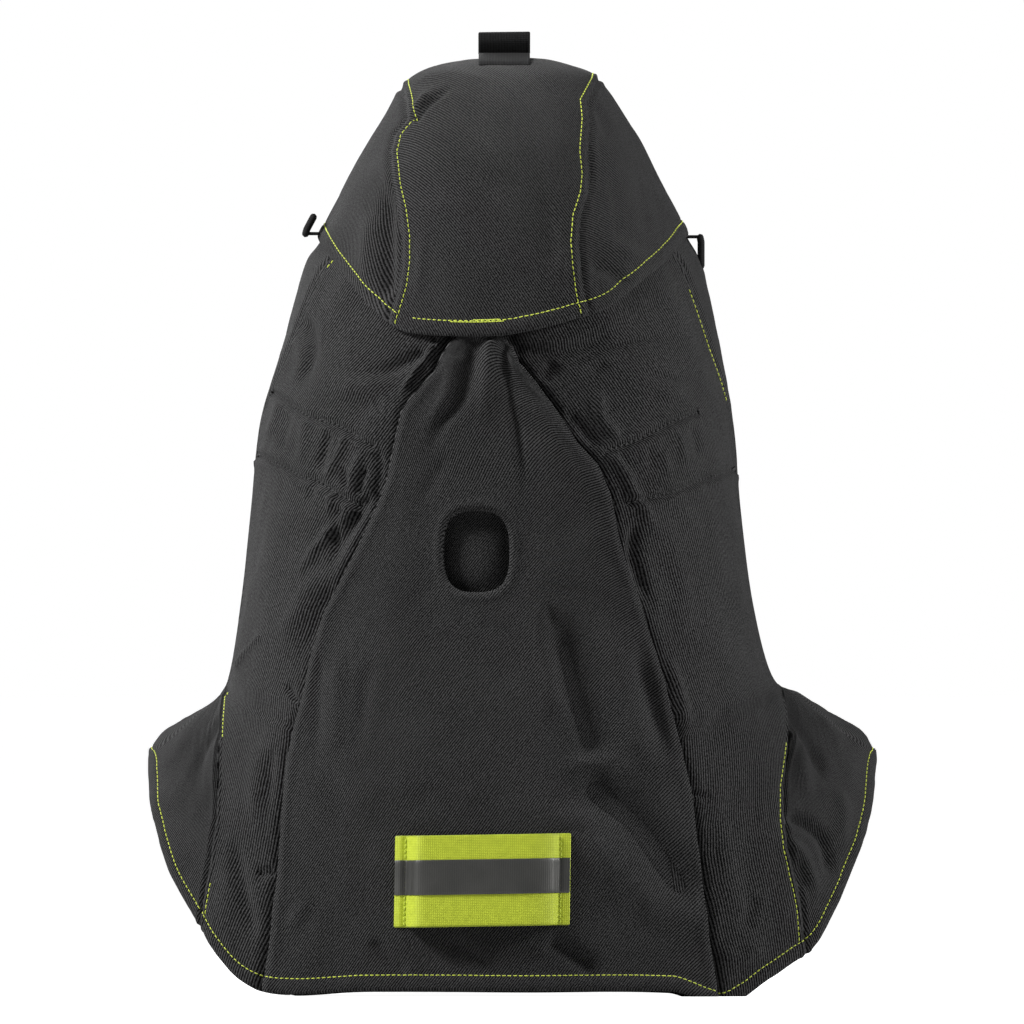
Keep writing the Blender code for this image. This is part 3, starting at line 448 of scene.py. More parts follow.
class Patch:
    """One panel's outer face: a regular grid of places on the form between two edges."""

    def __init__(self, levels, left, right, top, bottom, cell=CELL):
        sizes = on_form(levels, *self.spread(left, right, top, bottom, 12, 12))
        width, height = run(sizes, 1)[:, -1].max(), run(sizes, 0)[-1].max()
        self.levels = levels
        self.u, self.v = self.spread(left, right, top, bottom, max(3, math.ceil(width / cell)),
                                     max(3, math.ceil(height / cell)))
        self.settle()

    @staticmethod
    def spread(left, right, top, bottom, columns, rows):
        v = np.linspace(top, bottom, rows + 1)
        s = np.linspace(0, 1, columns + 1)
        start, end = left(v), right(v)
        return start[:, None] + (end - start)[:, None] * s[None, :], np.repeat(v[:, None], columns + 1, 1)

    def settle(self):
        """Works out where the grid lies on the form, and how far each place is from each edge."""
        self.base = on_form(self.levels, self.u, self.v)
        self.normal = form_normal(self.levels, self.u, self.v)
        self.x, self.h = self.base[..., 0], self.base[..., 2] + HEAD_TOP
        self.from_left, self.from_top = run(self.base, 1), run(self.base, 0)
        self.from_right = self.from_left[:, -1:] - self.from_left
        self.from_bottom = self.from_top[-1:] - self.from_top
        self.cloth = np.stack([self.from_left - self.from_left[:, -1:] / 2, self.from_bottom], -1)
        self.back = smooth((1.15 - np.abs(self.u)) / 0.15)
        self.points = self.base

    def raise_by(self, lift):
        self.points = self.base + self.normal * lift[..., None]

    def faces(self):
        rows, columns = self.u.shape
        index = np.arange(rows * columns).reshape(rows, columns)
        return np.stack([index[:-1, :-1], index[1:, :-1], index[1:, 1:], index[:-1, 1:]], -1).reshape(-1, 4)

    def line_in_from(self, edge, inset, keep=lambda x, h: True):
        """Places a fixed distance in from one edge, as runs of (point, normal) rows."""
        distance = {"left": self.from_left, "right": self.from_right,
                    "top": self.from_top, "bottom": self.from_bottom}[edge]
        data = np.concatenate([self.points, self.normal], -1)
        if edge in ("top", "bottom"):
            distance, data = distance.T, np.swapaxes(data, 0, 1)
        if edge in ("right", "bottom"):
            distance, data = distance[:, ::-1], data[:, ::-1]
        rows = np.array([[np.interp(inset, d, line[:, k]) for k in range(6)]
                         for d, line in zip(distance, data)])
        return split_runs(rows, keep)


def split_runs(rows, keep):
    """Cuts a line of rows into the stretches where keep(across, height) holds."""
    runs, current = [], []
    for row in rows:
        if keep(row[0], row[2] + HEAD_TOP):
            current.append(row)
        elif current:
            runs.append(np.array(current))
            current = []
    if current:
        runs.append(np.array(current))
    return [r for r in runs if len(r) > 2]


def shell(points, faces, cloth, thickness):
    """A closed padded sheet from its outer face: a rounded rim and an inner face are added."""
    corners = points[faces]
    face_normal = np.cross(corners[:, faces.shape[1] // 2] - corners[:, 0], corners[:, -1] - corners[:, 1])
    normal = np.zeros_like(points)
    for k in range(faces.shape[1]):
        np.add.at(normal, faces[:, k], face_normal)
    normal = unit(normal)
    edges = np.concatenate([np.stack([faces[:, k], faces[:, (k + 1) % faces.shape[1]]], -1)
                            for k in range(faces.shape[1])])
    _, back, count = np.unique(np.sort(edges, 1), axis=0, return_inverse=True, return_counts=True)
    rim = edges[count[back.ravel()] == 1]
    out = np.zeros_like(points)
    away = np.cross(points[rim[:, 1]] - points[rim[:, 0]], normal[rim[:, 0]] + normal[rim[:, 1]])
    for k in (0, 1):
        np.add.at(out, rim[:, k], away)
    out = unit(out)
    border = np.unique(rim)
    place = np.full(len(points), -1)
    place[border] = np.arange(len(border))
    half = thickness / 2
    middle = points[border] - normal[border] * half
    count = len(points)
    rows, all_points, all_cloth = [rim], [points, points - normal * thickness], [cloth, cloth]
    for k, angle in enumerate(math.radians(a) for a in (40, 90, 140)):
        all_points.append(middle + half * (normal[border] * math.cos(angle) + out[border] * math.sin(angle)))
        all_cloth.append(cloth[border])
        rows.append(2 * count + k * len(border) + place[rim])
    rows.append(rim + count)
    sides = [np.stack([a[:, 1], a[:, 0], b[:, 0], b[:, 1]], -1) for a, b in zip(rows[:-1], rows[1:])]
    return (np.concatenate(all_points), [faces, faces[:, ::-1] + count, np.concatenate(sides)],
            np.concatenate(all_cloth))


def make_mesh(name, points, face_sets, cloth=None):
    mesh = bpy.data.meshes.new(name)
    faces = [row for faces in face_sets for row in faces.tolist()]
    mesh.from_pydata(points.tolist(), [], faces)
    if cloth is not None:
        layer = mesh.uv_layers.new(name="cloth")
        loops = np.zeros(len(mesh.loops), np.int32)
        mesh.loops.foreach_get("vertex_index", loops)
        layer.data.foreach_set("uv", cloth[loops].astype(np.float32).ravel())
    mesh.shade_smooth()
    return mesh


def add_piece(name, mesh, mat, body="hood", nodes=()):
    mesh.materials.append(mat)
    obj = bpy.data.objects.new(name, mesh)
    bpy.context.scene.collection.objects.link(obj)
    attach(obj, body)
    if nodes:
        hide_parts(*nodes)
    return obj


def turned(cloth, degrees, scale=1.0):
    """Cloth coordinates turned, so that one twill material runs at each panel's own angle."""
    c, s = math.cos(math.radians(degrees)), math.sin(math.radians(degrees))
    x, y = cloth[..., 0], cloth[..., 1]
    return np.stack([x * c - y * s, x * s + y * c], -1) * scale


def cloth_piece(name, patch, mat, nodes, grain, thickness=CLOTH, scale=1.0):
    points, face_sets, cloth = shell(patch.points.reshape(-1, 3), patch.faces(),
                                     turned(patch.cloth, grain, scale).reshape(-1, 2), thickness)
    return add_piece(name, make_mesh(name, points, face_sets, cloth), mat, "hood", nodes)


# ---------------------------------------------------------------- materials
def new_material(name, roughness, sheen=0.0, sheen_roughness=0.5, specular=0.25, metallic=0.0):
    mat = bpy.data.materials.new(name)
    mat.use_nodes = True
    shader = mat.node_tree.nodes["Principled BSDF"]
    shader.inputs["Roughness"].default_value = roughness
    shader.inputs["Sheen Weight"].default_value = sheen
    shader.inputs["Sheen Roughness"].default_value = sheen_roughness
    shader.inputs["Specular IOR Level"].default_value = specular
    shader.inputs["Metallic"].default_value = metallic
    return mat, mat.node_tree, shader


def node(tree, kind, **values):
    made = tree.nodes.new(kind)
    for key, value in values.items():
        if key in made.inputs:
            made.inputs[key].default_value = value
        else:
            setattr(made, key, value)
    return made


def cloth_uv(tree):
    return node(tree, "ShaderNodeUVMap", uv_map="cloth").outputs["UV"]


WAVE_SCALE = 0.314159       # the wave texture's scale times its pitch


def bands(tree, where, pitch, direction, distortion, detail_scale):
    """Even stripes of one pitch in metres."""
    wave = node(tree, "ShaderNodeTexWave", wave_type="BANDS", bands_direction=direction)
    wave.inputs["Scale"].default_value = WAVE_SCALE / pitch
    wave.inputs["Distortion"].default_value = distortion
    wave.inputs["Detail"].default_value = 1.0
    wave.inputs["Detail Scale"].default_value = detail_scale
    tree.links.new(where, wave.inputs["Vector"])
    return wave.outputs["Fac"]


def speckle(tree, where, scale, detail=2.0):
    made = node(tree, "ShaderNodeTexNoise", Scale=scale, Detail=detail)
    tree.links.new(where, made.inputs["Vector"])
    return made.outputs["Fac"]


def math_node(tree, operation, first, second):
    made = node(tree, "ShaderNodeMath", operation=operation)
    for socket, value in zip(made.inputs, (first, second)):
        if isinstance(value, (int, float)):
            socket.default_value = value
        else:
            tree.links.new(value, socket)
    return made.outputs["Value"]


def weigh(tree, *terms):
    """The sum of (value, weight) terms."""
    value, weight = terms[0]
    first = math_node(tree, "MULTIPLY", value, weight)
    return first if len(terms) == 1 else math_node(tree, "ADD", first, weigh(tree, *terms[1:]))


def ramp(tree, fac, stops):
    made = node(tree, "ShaderNodeValToRGB")
    elements = made.color_ramp.elements
    while len(elements) < len(stops):
        elements.new(0.5)
    for element, (position, colour) in zip(elements, stops):
        element.position = position
        element.color = (*colour, 1)
    tree.links.new(fac, made.inputs["Fac"])
    return made.outputs["Color"]


def bump(tree, shader, height, distance, strength):
    made = node(tree, "ShaderNodeBump", Strength=strength, Distance=distance)
    tree.links.new(height, made.inputs["Height"])
    tree.links.new(made.outputs["Normal"], shader.inputs["Normal"])


TWILL_PITCH, TWILL_SHEEN = 0.00122, 0.08


def twill_material(name, dark, light):
    """Black aramid twill: slanting ribs, each rib broken into yarns, with a dusty heather."""
    mat, tree, shader = new_material(name, 0.95, TWILL_SHEEN, 0.42, 0.10)
    where = cloth_uv(tree)
    ribs = bands(tree, where, TWILL_PITCH, "X", 1.1, 3.0)
    yarns = bands(tree, where, TWILL_PITCH * 0.62, "Y", 2.0, 3.0)
    heather = speckle(tree, where, 1050.0, 0.0)
    broad = speckle(tree, where, 38.0, 3.0)
    weave = weigh(tree, (ribs, 0.85), (yarns, 0.15))
    shade = weigh(tree, (weave, 0.62), (heather, 0.62), (broad, 0.18))
    tree.links.new(ramp(tree, shade, [(0.48, dark), (1.0, light)]), shader.inputs["Base Color"])
    bump(tree, shader, weave, 0.00045, 1.0)
    return mat


def plain_weave_material(name, dark, light, pitch, roughness=0.85, sheen=0.2, depth=0.0002):
    """Ribbed webbing, elastic or lining: ribs across, threads along."""
    mat, tree, shader = new_material(name, roughness, sheen, 0.5, 0.3)
    where = cloth_uv(tree)
    ribs = bands(tree, where, pitch, "Y", 0.4, 2.0)
    threads = bands(tree, where, pitch * 0.7, "X", 0.8, 2.0)
    weave = weigh(tree, (ribs, 0.6), (threads, 0.4))
    shade = weigh(tree, (weave, 0.7), (speckle(tree, where, 400.0), 0.4))
    tree.links.new(ramp(tree, shade, [(0.2, dark), (0.9, light)]), shader.inputs["Base Color"])
    bump(tree, shader, weave, depth, 0.8)
    return mat


def tape_material():
    """Woven fluorescent tape: fine weave, brighter threads, firmer selvages."""
    mat, tree, shader = new_material("lime_tape", 0.55, 0.12, 0.5, 0.35)
    where = cloth_uv(tree)
    ribs = bands(tree, where, 0.0011, "X", 0.6, 2.0)
    threads = bands(tree, where, 0.0009, "Y", 0.6, 2.0)
    weave = math_node(tree, "MULTIPLY", ribs, threads)
    split = node(tree, "ShaderNodeSeparateXYZ")
    tree.links.new(where, split.inputs[0])
    edge = math_node(tree, "GREATER_THAN", math_node(tree, "ABSOLUTE", split.outputs["Y"], 0.0), 0.0238)
    shade = weigh(tree, (weave, 0.55), (speckle(tree, where, 260.0), 0.35), (edge, -0.15))
    tree.links.new(ramp(tree, shade, [(0.0, (0.290, 0.350, 0.012)), (0.45, (0.500, 0.590, 0.026)),
                                      (0.9, (0.640, 0.730, 0.070))]), shader.inputs["Base Color"])
    bump(tree, shader, weave, 0.00014, 0.7)
    return mat


def film_material():
    """Silver retroreflective film: grey, fine glass beads, pressed lines from its backing."""
    mat, tree, shader = new_material("silver_film", 0.42, 0.0, 0.5, 0.5, 0.55)
    where = cloth_uv(tree)
    beads = speckle(tree, where, 2600.0, 0.0)
    lines = bands(tree, where, 0.0012, "X", 1.2, 2.0)
    broad = speckle(tree, where, 60.0, 2.0)
    shade = weigh(tree, (beads, 0.35), (lines, 0.2), (broad, 0.45))
    tree.links.new(ramp(tree, shade, [(0.25, (0.052, 0.053, 0.050)), (0.75, (0.105, 0.104, 0.098))]),
                   shader.inputs["Base Color"])
    bump(tree, shader, lines, 0.00006, 0.6)
    return mat


def thread_material(name, dark, light):
    """Twisted sewing thread."""
    mat, tree, shader = new_material(name, 0.55, 0.2, 0.5, 0.3)
    where = node(tree, "ShaderNodeTexCoord").outputs["Object"]
    twist = bands(tree, where, 0.00035, "DIAGONAL", 0.5, 2.0)
    shade = weigh(tree, (twist, 0.5), (speckle(tree, where, 300.0), 0.5))
    tree.links.new(ramp(tree, shade, [(0.1, dark), (0.8, light)]), shader.inputs["Base Color"])
    bump(tree, shader, twist, 0.00006, 0.6)
    return mat


TWILL = twill_material("aramid_twill", (0.0008, 0.0008, 0.0009), (0.0600, 0.0595, 0.0600))
LINING_CLOTH = plain_weave_material("lining_cloth", (0.010, 0.010, 0.011), (0.030, 0.030, 0.031), 0.0012)
WEBBING = plain_weave_material("black_webbing", (0.0015, 0.0015, 0.0016), (0.0110, 0.0110, 0.0115), 0.0015,
                               0.9, 0.0, 0.0003)
ELASTIC = plain_weave_material("ribbed_elastic", (0.03, 0.03, 0.03), (0.085, 0.085, 0.083), 0.0016)
LIME_THREAD = thread_material("lime_thread", (0.36, 0.44, 0.02), (0.70, 0.80, 0.10))
BLACK_THREAD = thread_material("black_thread", (0.0015, 0.0015, 0.0015), (0.005, 0.005, 0.005))
TAPE = tape_material()
FILM = film_material()


# ---------------------------------------------------------------- stitches
def stitch_template():
    """One stitch along +X: a thin round bar whose ends dive into the cloth."""
    sides, along = 6, np.array([-0.5, -0.44, -0.22, 0.0, 0.22, 0.44, 0.5])
    girth = np.array([0.35, 0.8, 1.0, 1.0, 1.0, 0.8, 0.35])
    rise = np.array([-0.9, -0.35, 0.45, 0.6, 0.45, -0.35, -0.9])
    turn = 2 * math.pi * np.arange(sides) / sides
    rings = np.stack([np.repeat(along * STITCH_LENGTH, sides),
                      np.outer(girth, np.cos(turn)).ravel() * STITCH_RADIUS,
                      (np.outer(girth, np.sin(turn)) + rise[:, None]).ravel() * STITCH_RADIUS], -1)
    quads = []
    for ring in range(len(along) - 1):
        for k in range(sides):
            a, b = ring * sides + k, ring * sides + (k + 1) % sides
            quads.append((a, b, b + sides, a + sides))
    last = (len(along) - 1) * sides
    caps = [tuple(range(sides))[::-1], tuple(range(last, last + sides))]
    return rings, np.array(quads), caps


def stitch_piece(name, runs, mat=LIME_THREAD, nodes=(), seed=1, pitch=STITCH_PITCH,
                 width=1.0):
    """Separate stitches laid along runs of (point, normal) rows, as one piece."""
    rings, quads, caps = stitch_template()
    points, faces = [], []
    draw = np.random.default_rng(seed)
    for rows in runs:
        gone = np.concatenate([[0], np.cumsum(np.linalg.norm(np.diff(rows[:, :3], axis=0), axis=1))])
        if gone[-1] < pitch:
            continue
        for middle in np.arange(pitch / 2, gone[-1] - pitch / 3, pitch):
            at = [np.interp(middle + d, gone, rows[:, k])
                  for d in (0, -pitch / 3, pitch / 3) for k in range(3)]
            normal = unit(np.array([np.interp(middle, gone, rows[:, k]) for k in (3, 4, 5)]))
            centre, along = np.array(at[:3]), unit(np.array(at[6:9]) - np.array(at[3:6]))
            across = unit(np.cross(normal, along))
            up = np.cross(along, across)
            tilt = draw.uniform(-0.05, 0.05)
            c, s = math.cos(tilt), math.sin(tilt)
            along, across = along * c + across * s, across * c - along * s
            first = len(points) * len(rings)
            points.append(centre + np.outer(rings[:, 0], along) + width * np.outer(rings[:, 1], across)
                          + np.outer(rings[:, 2], up))
            faces += [tuple(first + i for i in quad) for quad in quads.tolist()]
            faces += [tuple(first + i for i in cap) for cap in caps]
    mesh = bpy.data.meshes.new(name)
    mesh.from_pydata(np.concatenate(points).tolist(), [], faces)
    mesh.shade_smooth()
    return add_piece(name, mesh, mat, "hood", nodes)


def groove(distance, depth=0.55, width=1.2):
    """The cloth pulled in along a line of stitches."""
    return -depth * MM * np.exp(-(distance / (width * MM)) ** 2)


def hem_relief(from_edge):
    """A turned hem: a fuller band below its topstitching."""
    band = smooth((TOPSTITCH + 0.001 - from_edge) / 0.002)
    return groove(from_edge - TOPSTITCH) + 0.7 * MM * band - 0.5 * MM * np.exp(-(from_edge / 0.0016) ** 2)


def seam_relief(distance, depth=1.6):
    """Cloth turned in at a seam, with a fuller felled ridge beside it."""
    return (-depth * MM * np.exp(-(distance / 0.0020) ** 2)
            + 0.45 * MM * np.exp(-((distance - 0.0028) / 0.0018) ** 2))


# ---------------------------------------------------------------- crown
def seam_line(outline, outward):
    """A crown seam's place across, by height: the topstitching, or the seam outward of it."""
    outline = np.array(sorted((h, x) for x, h in outline), float) * MM
    return lambda h: np.interp(h, outline[:, 0], outline[:, 1]) + outward


CROWN_RADIUS, CROWN_MIDDLE = 0.100, 0.400


def build_crown():
    patch = Patch(CROWN, lambda v: np.full_like(v, -2.0), lambda v: np.full_like(v, 2.0), 0.02, CROWN_HEM)
    left, right = seam_line(CROWN_SEAM_LEFT, -FELL), seam_line(CROWN_SEAM_RIGHT, FELL)
    x, h = patch.x, patch.h
    facing_back = smooth((1.05 - np.abs(patch.u)) / 0.1)
    lift = folds(x, h, facing_back, CROWN_FOLDS)
    away_left, away_right = x - left(h), right(h) - x
    for away in (away_left, away_right):
        lift += seam_relief(np.abs(away), 1.5) + groove(away - FELL, 0.6, 1.1)
        lift += 0.35 * MM * smooth((FELL - np.abs(away - FELL / 2)) / 0.002)
    outside = np.minimum(away_left, away_right) < 0
    lift -= 0.5 * MM * outside
    lift += hem_relief(patch.from_bottom)
    lift += drape(np.stack([x + patch.base[..., 1], patch.base[..., 1] - h], -1), 11, 0.75) * \
        smooth(patch.from_top / 0.02)
    wave = 0.9 * MM * np.sin(x / 0.011 + 1.0) * np.exp(-(patch.from_bottom / 0.02) ** 2)
    patch.raise_by(lift + wave * facing_back * 0.6)
    round_back = CROWN_RADIUS * np.arctan2(h - CROWN_MIDDLE, -patch.base[..., 1])
    round_side = CROWN_RADIUS * np.arctan2(h - CROWN_MIDDLE, np.abs(x))
    middle_cloth = np.stack([x, round_back], -1)
    side_cloth = np.stack([patch.base[..., 1], round_side], -1)
    for name, cloth, cuts, grain in (
            ("crown_side_panel_left", side_cloth, [(left, False)], 20),
            ("crown_centre_panel", middle_cloth, [(left, True), (right, False)], 142),
            ("crown_side_panel_right", side_cloth, [(right, True)], 160)):
        mesh = make_mesh(name, patch.points.reshape(-1, 3), [patch.faces()],
                         turned(cloth, grain).reshape(-1, 2))
        points, faces, uv = cut_crown(mesh, cuts)
        shelled = shell(points, faces, uv, CLOTH)
        add_piece(name + "_cloth", make_mesh(name + "_cloth", *shelled), TWILL, "hood",
                  [name])
    stitch_crown(patch)


def cut_crown(mesh, cuts):
    """Keeps the part of the dome between its curved seams; returns points, triangles and cloth."""
    bm = bmesh.new()
    bm.from_mesh(mesh)
    bmesh.ops.remove_doubles(bm, verts=bm.verts, dist=0.0001)
    for seam, keep_right in cuts:
        shift = [float(s) for s in seam(np.array([v.co.z for v in bm.verts]) + HEAD_TOP)]
        for vert, s in zip(bm.verts, shift):
            vert.co.x -= s
        bmesh.ops.bisect_plane(bm, geom=bm.verts[:] + bm.edges[:] + bm.faces[:], plane_co=(0, 0, 0),
                               plane_no=(1, 0, 0), clear_inner=keep_right,
                               clear_outer=not keep_right, dist=0.0002)
        shift = [float(s) for s in seam(np.array([v.co.z for v in bm.verts]) + HEAD_TOP)]
        for vert, s in zip(bm.verts, shift):
            vert.co.x += s
    loose = [v for v in bm.verts if not v.link_faces]
    bmesh.ops.delete(bm, geom=loose, context="VERTS")
    bmesh.ops.triangulate(bm, faces=bm.faces)
    bm.verts.index_update()
    layer = bm.loops.layers.uv.active
    points = np.array([v.co for v in bm.verts])
    faces = np.array([[v.index for v in f.verts] for f in bm.faces])
    uv = np.zeros((len(points), 2))
    for f in bm.faces:
        for loop in f.loops:
            uv[loop.vert.index] = loop[layer].uv
    bm.free()
    return points, faces, uv


def read_patch(patch, u, v):
    """Points and normals of a regular patch at places (u, v), between its grid points."""
    rows, columns = patch.u.shape
    j = (u - patch.u[0, 0]) / (patch.u[0, -1] - patch.u[0, 0]) * (columns - 1)
    i = (v - patch.v[0, 0]) / (patch.v[-1, 0] - patch.v[0, 0]) * (rows - 1)
    i, j = np.clip(i, 0, rows - 1.001), np.clip(j, 0, columns - 1.001)
    a, b = i.astype(int), j.astype(int)
    fi, fj = (i - a)[:, None], (j - b)[:, None]
    data = np.concatenate([patch.points, patch.normal], -1)
    return ((data[a, b] * (1 - fj) + data[a, b + 1] * fj) * (1 - fi)
            + (data[a + 1, b] * (1 - fj) + data[a + 1, b + 1] * fj) * fi)


def over_crown(patch, line, bottom):
    """A line up the back of the crown, over it and down to the brow, at a given place across."""
    v = np.linspace(bottom, 0.3, 220)
    rows = through(np.column_stack([np.arange(len(CROWN)), CROWN]), v)
    half, shift = rows[:, 3], rows[:, 6]
    runs = []
    for front in (False, True):
        u = np.zeros_like(v)
        ok = np.ones(len(v), bool)
        for _ in range(4):
            height = on_form(CROWN, 2 - u if front else u, v)[:, 2] + HEAD_TOP
            sine = (line(height) - shift) / np.maximum(half, 1e-6)
            ok = np.abs(sine) < 0.999
            u = np.arcsin(np.clip(sine, -0.999, 0.999)) / (math.pi / 2)
        turns = np.where(u > 0, 2 - u, -2 - u) if front else u
        rows_here = read_patch(patch, turns[ok], v[ok])
        runs.append(rows_here[::-1] if front else rows_here)
    return [np.concatenate(runs)]


def stitch_crown(patch):
    for side, outline in (("left", CROWN_SEAM_LEFT), ("right", CROWN_SEAM_RIGHT)):
        runs = over_crown(patch, seam_line(outline, 0.0), CROWN_HEM - 0.02)
        stitch_piece(f"crown_seam_stitches_{side}", runs, nodes=[f"crown_seam_thread_{side}"], seed=21)
    hem = patch.line_in_from("bottom", TOPSTITCH, lambda x, h: not -0.058 < x < -0.052 or h > 0.40)
    stitch_piece("crown_hem_stitches", hem, nodes=["crown_hem_thread"], seed=22)
    tack = patch.line_in_from("bottom", TOPSTITCH + 0.0005, lambda x, h: -0.019 < x < -0.003 and h < 0.40)
    tack += patch.line_in_from("bottom", TOPSTITCH - 0.0007, lambda x, h: -0.032 < x < -0.002 and h < 0.40)
    stitch_piece("crown_hem_backtack", tack, seed=23, pitch=0.0021)


# ---------------------------------------------------------------- cape and neck panels
GUSSET_EDGES = {-1: outline_edge(GUSSET_SEAM_LEFT), 1: outline_edge(GUSSET_SEAM_RIGHT)}


def side_seam(v, side):
    v = np.asarray(v, float)
    return np.where(v < 7.0, through(SIDE_SEAM, v),
                    through(SIDE_SEAM, v) * (1 - smooth((v - 7) / 0.6))
                    + side * GUSSET_EDGES[side](v) * smooth((v - 7) / 0.6))


def front_seam(v):
    v = np.asarray(v, float)
    last = SIDE_SEAM[-1]
    fall = np.maximum(v - last[0], 0) / (CAPE_HEM - last[0])
    return through(SIDE_SEAM, v) + GUSSET_FOOT * fall


def face_edge(v, side):
    """Turns from centre back to the edge of the face opening."""
    rows = through(np.column_stack([np.arange(len(BODY)), BODY]), v)
    up = (rows[..., 2] - FACE_CENTRE) / FACE_HALF_HEIGHT
    half = FACE_HALF_WIDTH * np.sqrt(np.clip(1 - up * up, 0, 1))
    half = np.where(up > 0.6, FACE_HALF_WIDTH * 0.8, half)
    return 2.0 - np.arcsin((half - side * rows[..., 6]) / rows[..., 3]) / (math.pi / 2)


BACK_INSET = 0.0042         # allows for the back panel standing off the form
EDGE_LEFT, EDGE_RIGHT = outline_edge(BACK_EDGE_LEFT, BACK_INSET), outline_edge(BACK_EDGE_RIGHT, BACK_INSET)
BODY_TOP = 0.10


def half_round(v):
    """Quarter of the way round the form, in metres, at one level."""
    return through(np.column_stack([np.arange(len(BODY)), BODY[:, 3]]), v) * math.pi / 2


def lap_left(v):
    middle = 0.5 * (EDGE_LEFT(v) + EDGE_RIGHT(v))
    return np.minimum(EDGE_LEFT(v) + LAP / half_round(v), middle - 0.01)


def lap_right(v):
    middle = 0.5 * (EDGE_LEFT(v) + EDGE_RIGHT(v))
    return np.maximum(EDGE_RIGHT(v) - LAP / half_round(v), middle + 0.01)


def in_hole(x, h):
    """Below 1 inside the oval hole, 1 on its edge."""
    return (np.abs((x - HOLE_CENTRE[0]) / (HOLE_SIZE[0] / 2)) ** HOLE_POWER
            + np.abs((h - HOLE_CENTRE[1]) / (HOLE_SIZE[1] / 2)) ** HOLE_POWER)


def back_relief(patch):
    x, h = patch.x, patch.h
    edge = np.minimum(patch.from_left, patch.from_right)
    lift = BACK_LIFT + folds(x, h, patch.back, BACK_FOLDS) + drape(patch.cloth, 31)
    lift += 0.6 * MM * np.exp(-((edge - 0.0035) / 0.0024) ** 2) - 0.7 * MM * np.exp(-(edge / 0.0018) ** 2)
    lift += hem_relief(patch.from_bottom)
    step = (patch.from_bottom < TOPSTITCH) & (x > -0.052)
    lift += 0.5 * MM * step
    around = np.sqrt(np.maximum(in_hole(x, h), 0)) - 1
    lift += 0.9 * MM * np.exp(-((around - 0.17) / 0.13) ** 2) - 0.9 * MM * np.exp(-(around / 0.08) ** 2)
    tape_zone = np.exp(-(np.maximum(np.abs(x + 0.013) - 0.05, 0) / 0.008) ** 2
                       - (np.maximum(np.abs(h - 0.066) - 0.026, 0) / 0.006) ** 2)
    return BACK_LIFT + (lift - BACK_LIFT) * (1 - 0.75 * tape_zone)


def build_back():
    patch = Patch(BODY, EDGE_LEFT, EDGE_RIGHT, BODY_TOP, CAPE_HEM)
    cut = in_hole(patch.x, patch.h)
    faces = patch.faces()
    kept = cut.ravel()[faces].mean(1) > 1
    rim = np.intersect1d(faces[kept], faces[~kept])
    x, h, size = patch.x.ravel()[rim], patch.h.ravel()[rim], cut.ravel()[rim] ** (1 / HOLE_POWER)
    u, v = locate(BODY, HOLE_CENTRE[0] + (x - HOLE_CENTRE[0]) / size,
                  HOLE_CENTRE[1] + (h - HOLE_CENTRE[1]) / size)
    patch.u.ravel()[rim], patch.v.ravel()[rim] = u, v
    distances = patch.from_left, patch.from_right, patch.from_top, patch.from_bottom
    cloth = patch.cloth
    patch.settle()
    patch.from_left, patch.from_right, patch.from_top, patch.from_bottom = distances
    patch.cloth = cloth
    patch.raise_by(back_relief(patch))
    points, face_sets, cloth = shell(patch.points.reshape(-1, 3), faces[kept],
                                     turned(patch.cloth, 37).reshape(-1, 2), CLOTH)
    add_piece("back_panel_cloth", make_mesh("back_panel_cloth", points, face_sets, cloth), TWILL,
              "hood", ["back_panel"])
    return patch.line_in_from("bottom", TOPSTITCH)


def hole_ring():
    """The facing turned in round the hole, seen as a soft rolled edge."""
    steps, rows = 96, 5
    angle = np.linspace(0, 2 * math.pi, steps + 1)
    c, s = np.cos(angle), np.sin(angle)
    grid_x, grid_h, drop = [], [], []
    for row in range(rows):
        grow = 0.0002 + 0.0022 * row
        grid_x.append(HOLE_CENTRE[0] + (HOLE_SIZE[0] / 2 + grow) * np.sign(c) * np.abs(c) ** (2 / HOLE_POWER))
        grid_h.append(HOLE_CENTRE[1] + (HOLE_SIZE[1] / 2 + grow) * np.sign(s) * np.abs(s) ** (2 / HOLE_POWER))
        drop.append(np.full(steps + 1, BACK_LIFT - CLOTH - 0.0007 - 0.0002 * row))
    u, v = locate(BODY, np.array(grid_x).ravel(), np.array(grid_h).ravel())
    points = on_form(BODY, u, v) + form_normal(BODY, u, v) * np.array(drop).ravel()[:, None]
    index = np.arange(rows * (steps + 1)).reshape(rows, steps + 1)
    index[:, -1] = index[:, 0]
    faces = grid_faces(index)
    used = np.unique(faces)
    place = np.zeros(len(points), int)
    place[used] = np.arange(len(used))
    cloth = np.stack([np.array(grid_x).ravel(), np.array(grid_h).ravel()], -1)[used]
    faces = place[faces]
    mesh_points = points[used]
    if diagonal_cross(mesh_points, faces)[:, 1].mean() > 0:
        faces = faces[:, ::-1]
    shelled = shell(mesh_points, faces, turned(cloth, 37), HEM_THICK)
    add_piece("hole_facing_cloth", make_mesh("hole_facing_cloth", *shelled), TWILL, "hood",
              ["hole_facing"])


def build_underlay():
    patch = Patch(BODY, lap_left, lap_right, BODY_TOP, CAPE_HEM, 0.0030)
    lift = 0.5 * drape(patch.cloth, 41) - 0.0006
    seen = np.exp(-((patch.x - HOLE_CENTRE[0]) / 0.026) ** 2 - ((patch.h - HOLE_CENTRE[1]) / 0.030) ** 2)
    out = np.maximum(in_hole(patch.x, patch.h), 0) ** (1 / HOLE_POWER)
    puff = 2.2 * MM * np.exp(-(out / 0.55) ** 2) - 2.6 * MM * np.exp(-((out - 0.98) / 0.26) ** 2)
    patch.raise_by(np.minimum(lift, 0.0008) - HOLE_DEPTH * seen + puff)
    cloth_piece("pleat_underlay_cloth", patch, TWILL, ["pleat_underlay"], 37)


TUCK_DEPTH, TUCK_REACH = 4.0, 0.0042     # millimetres deep, metres wide


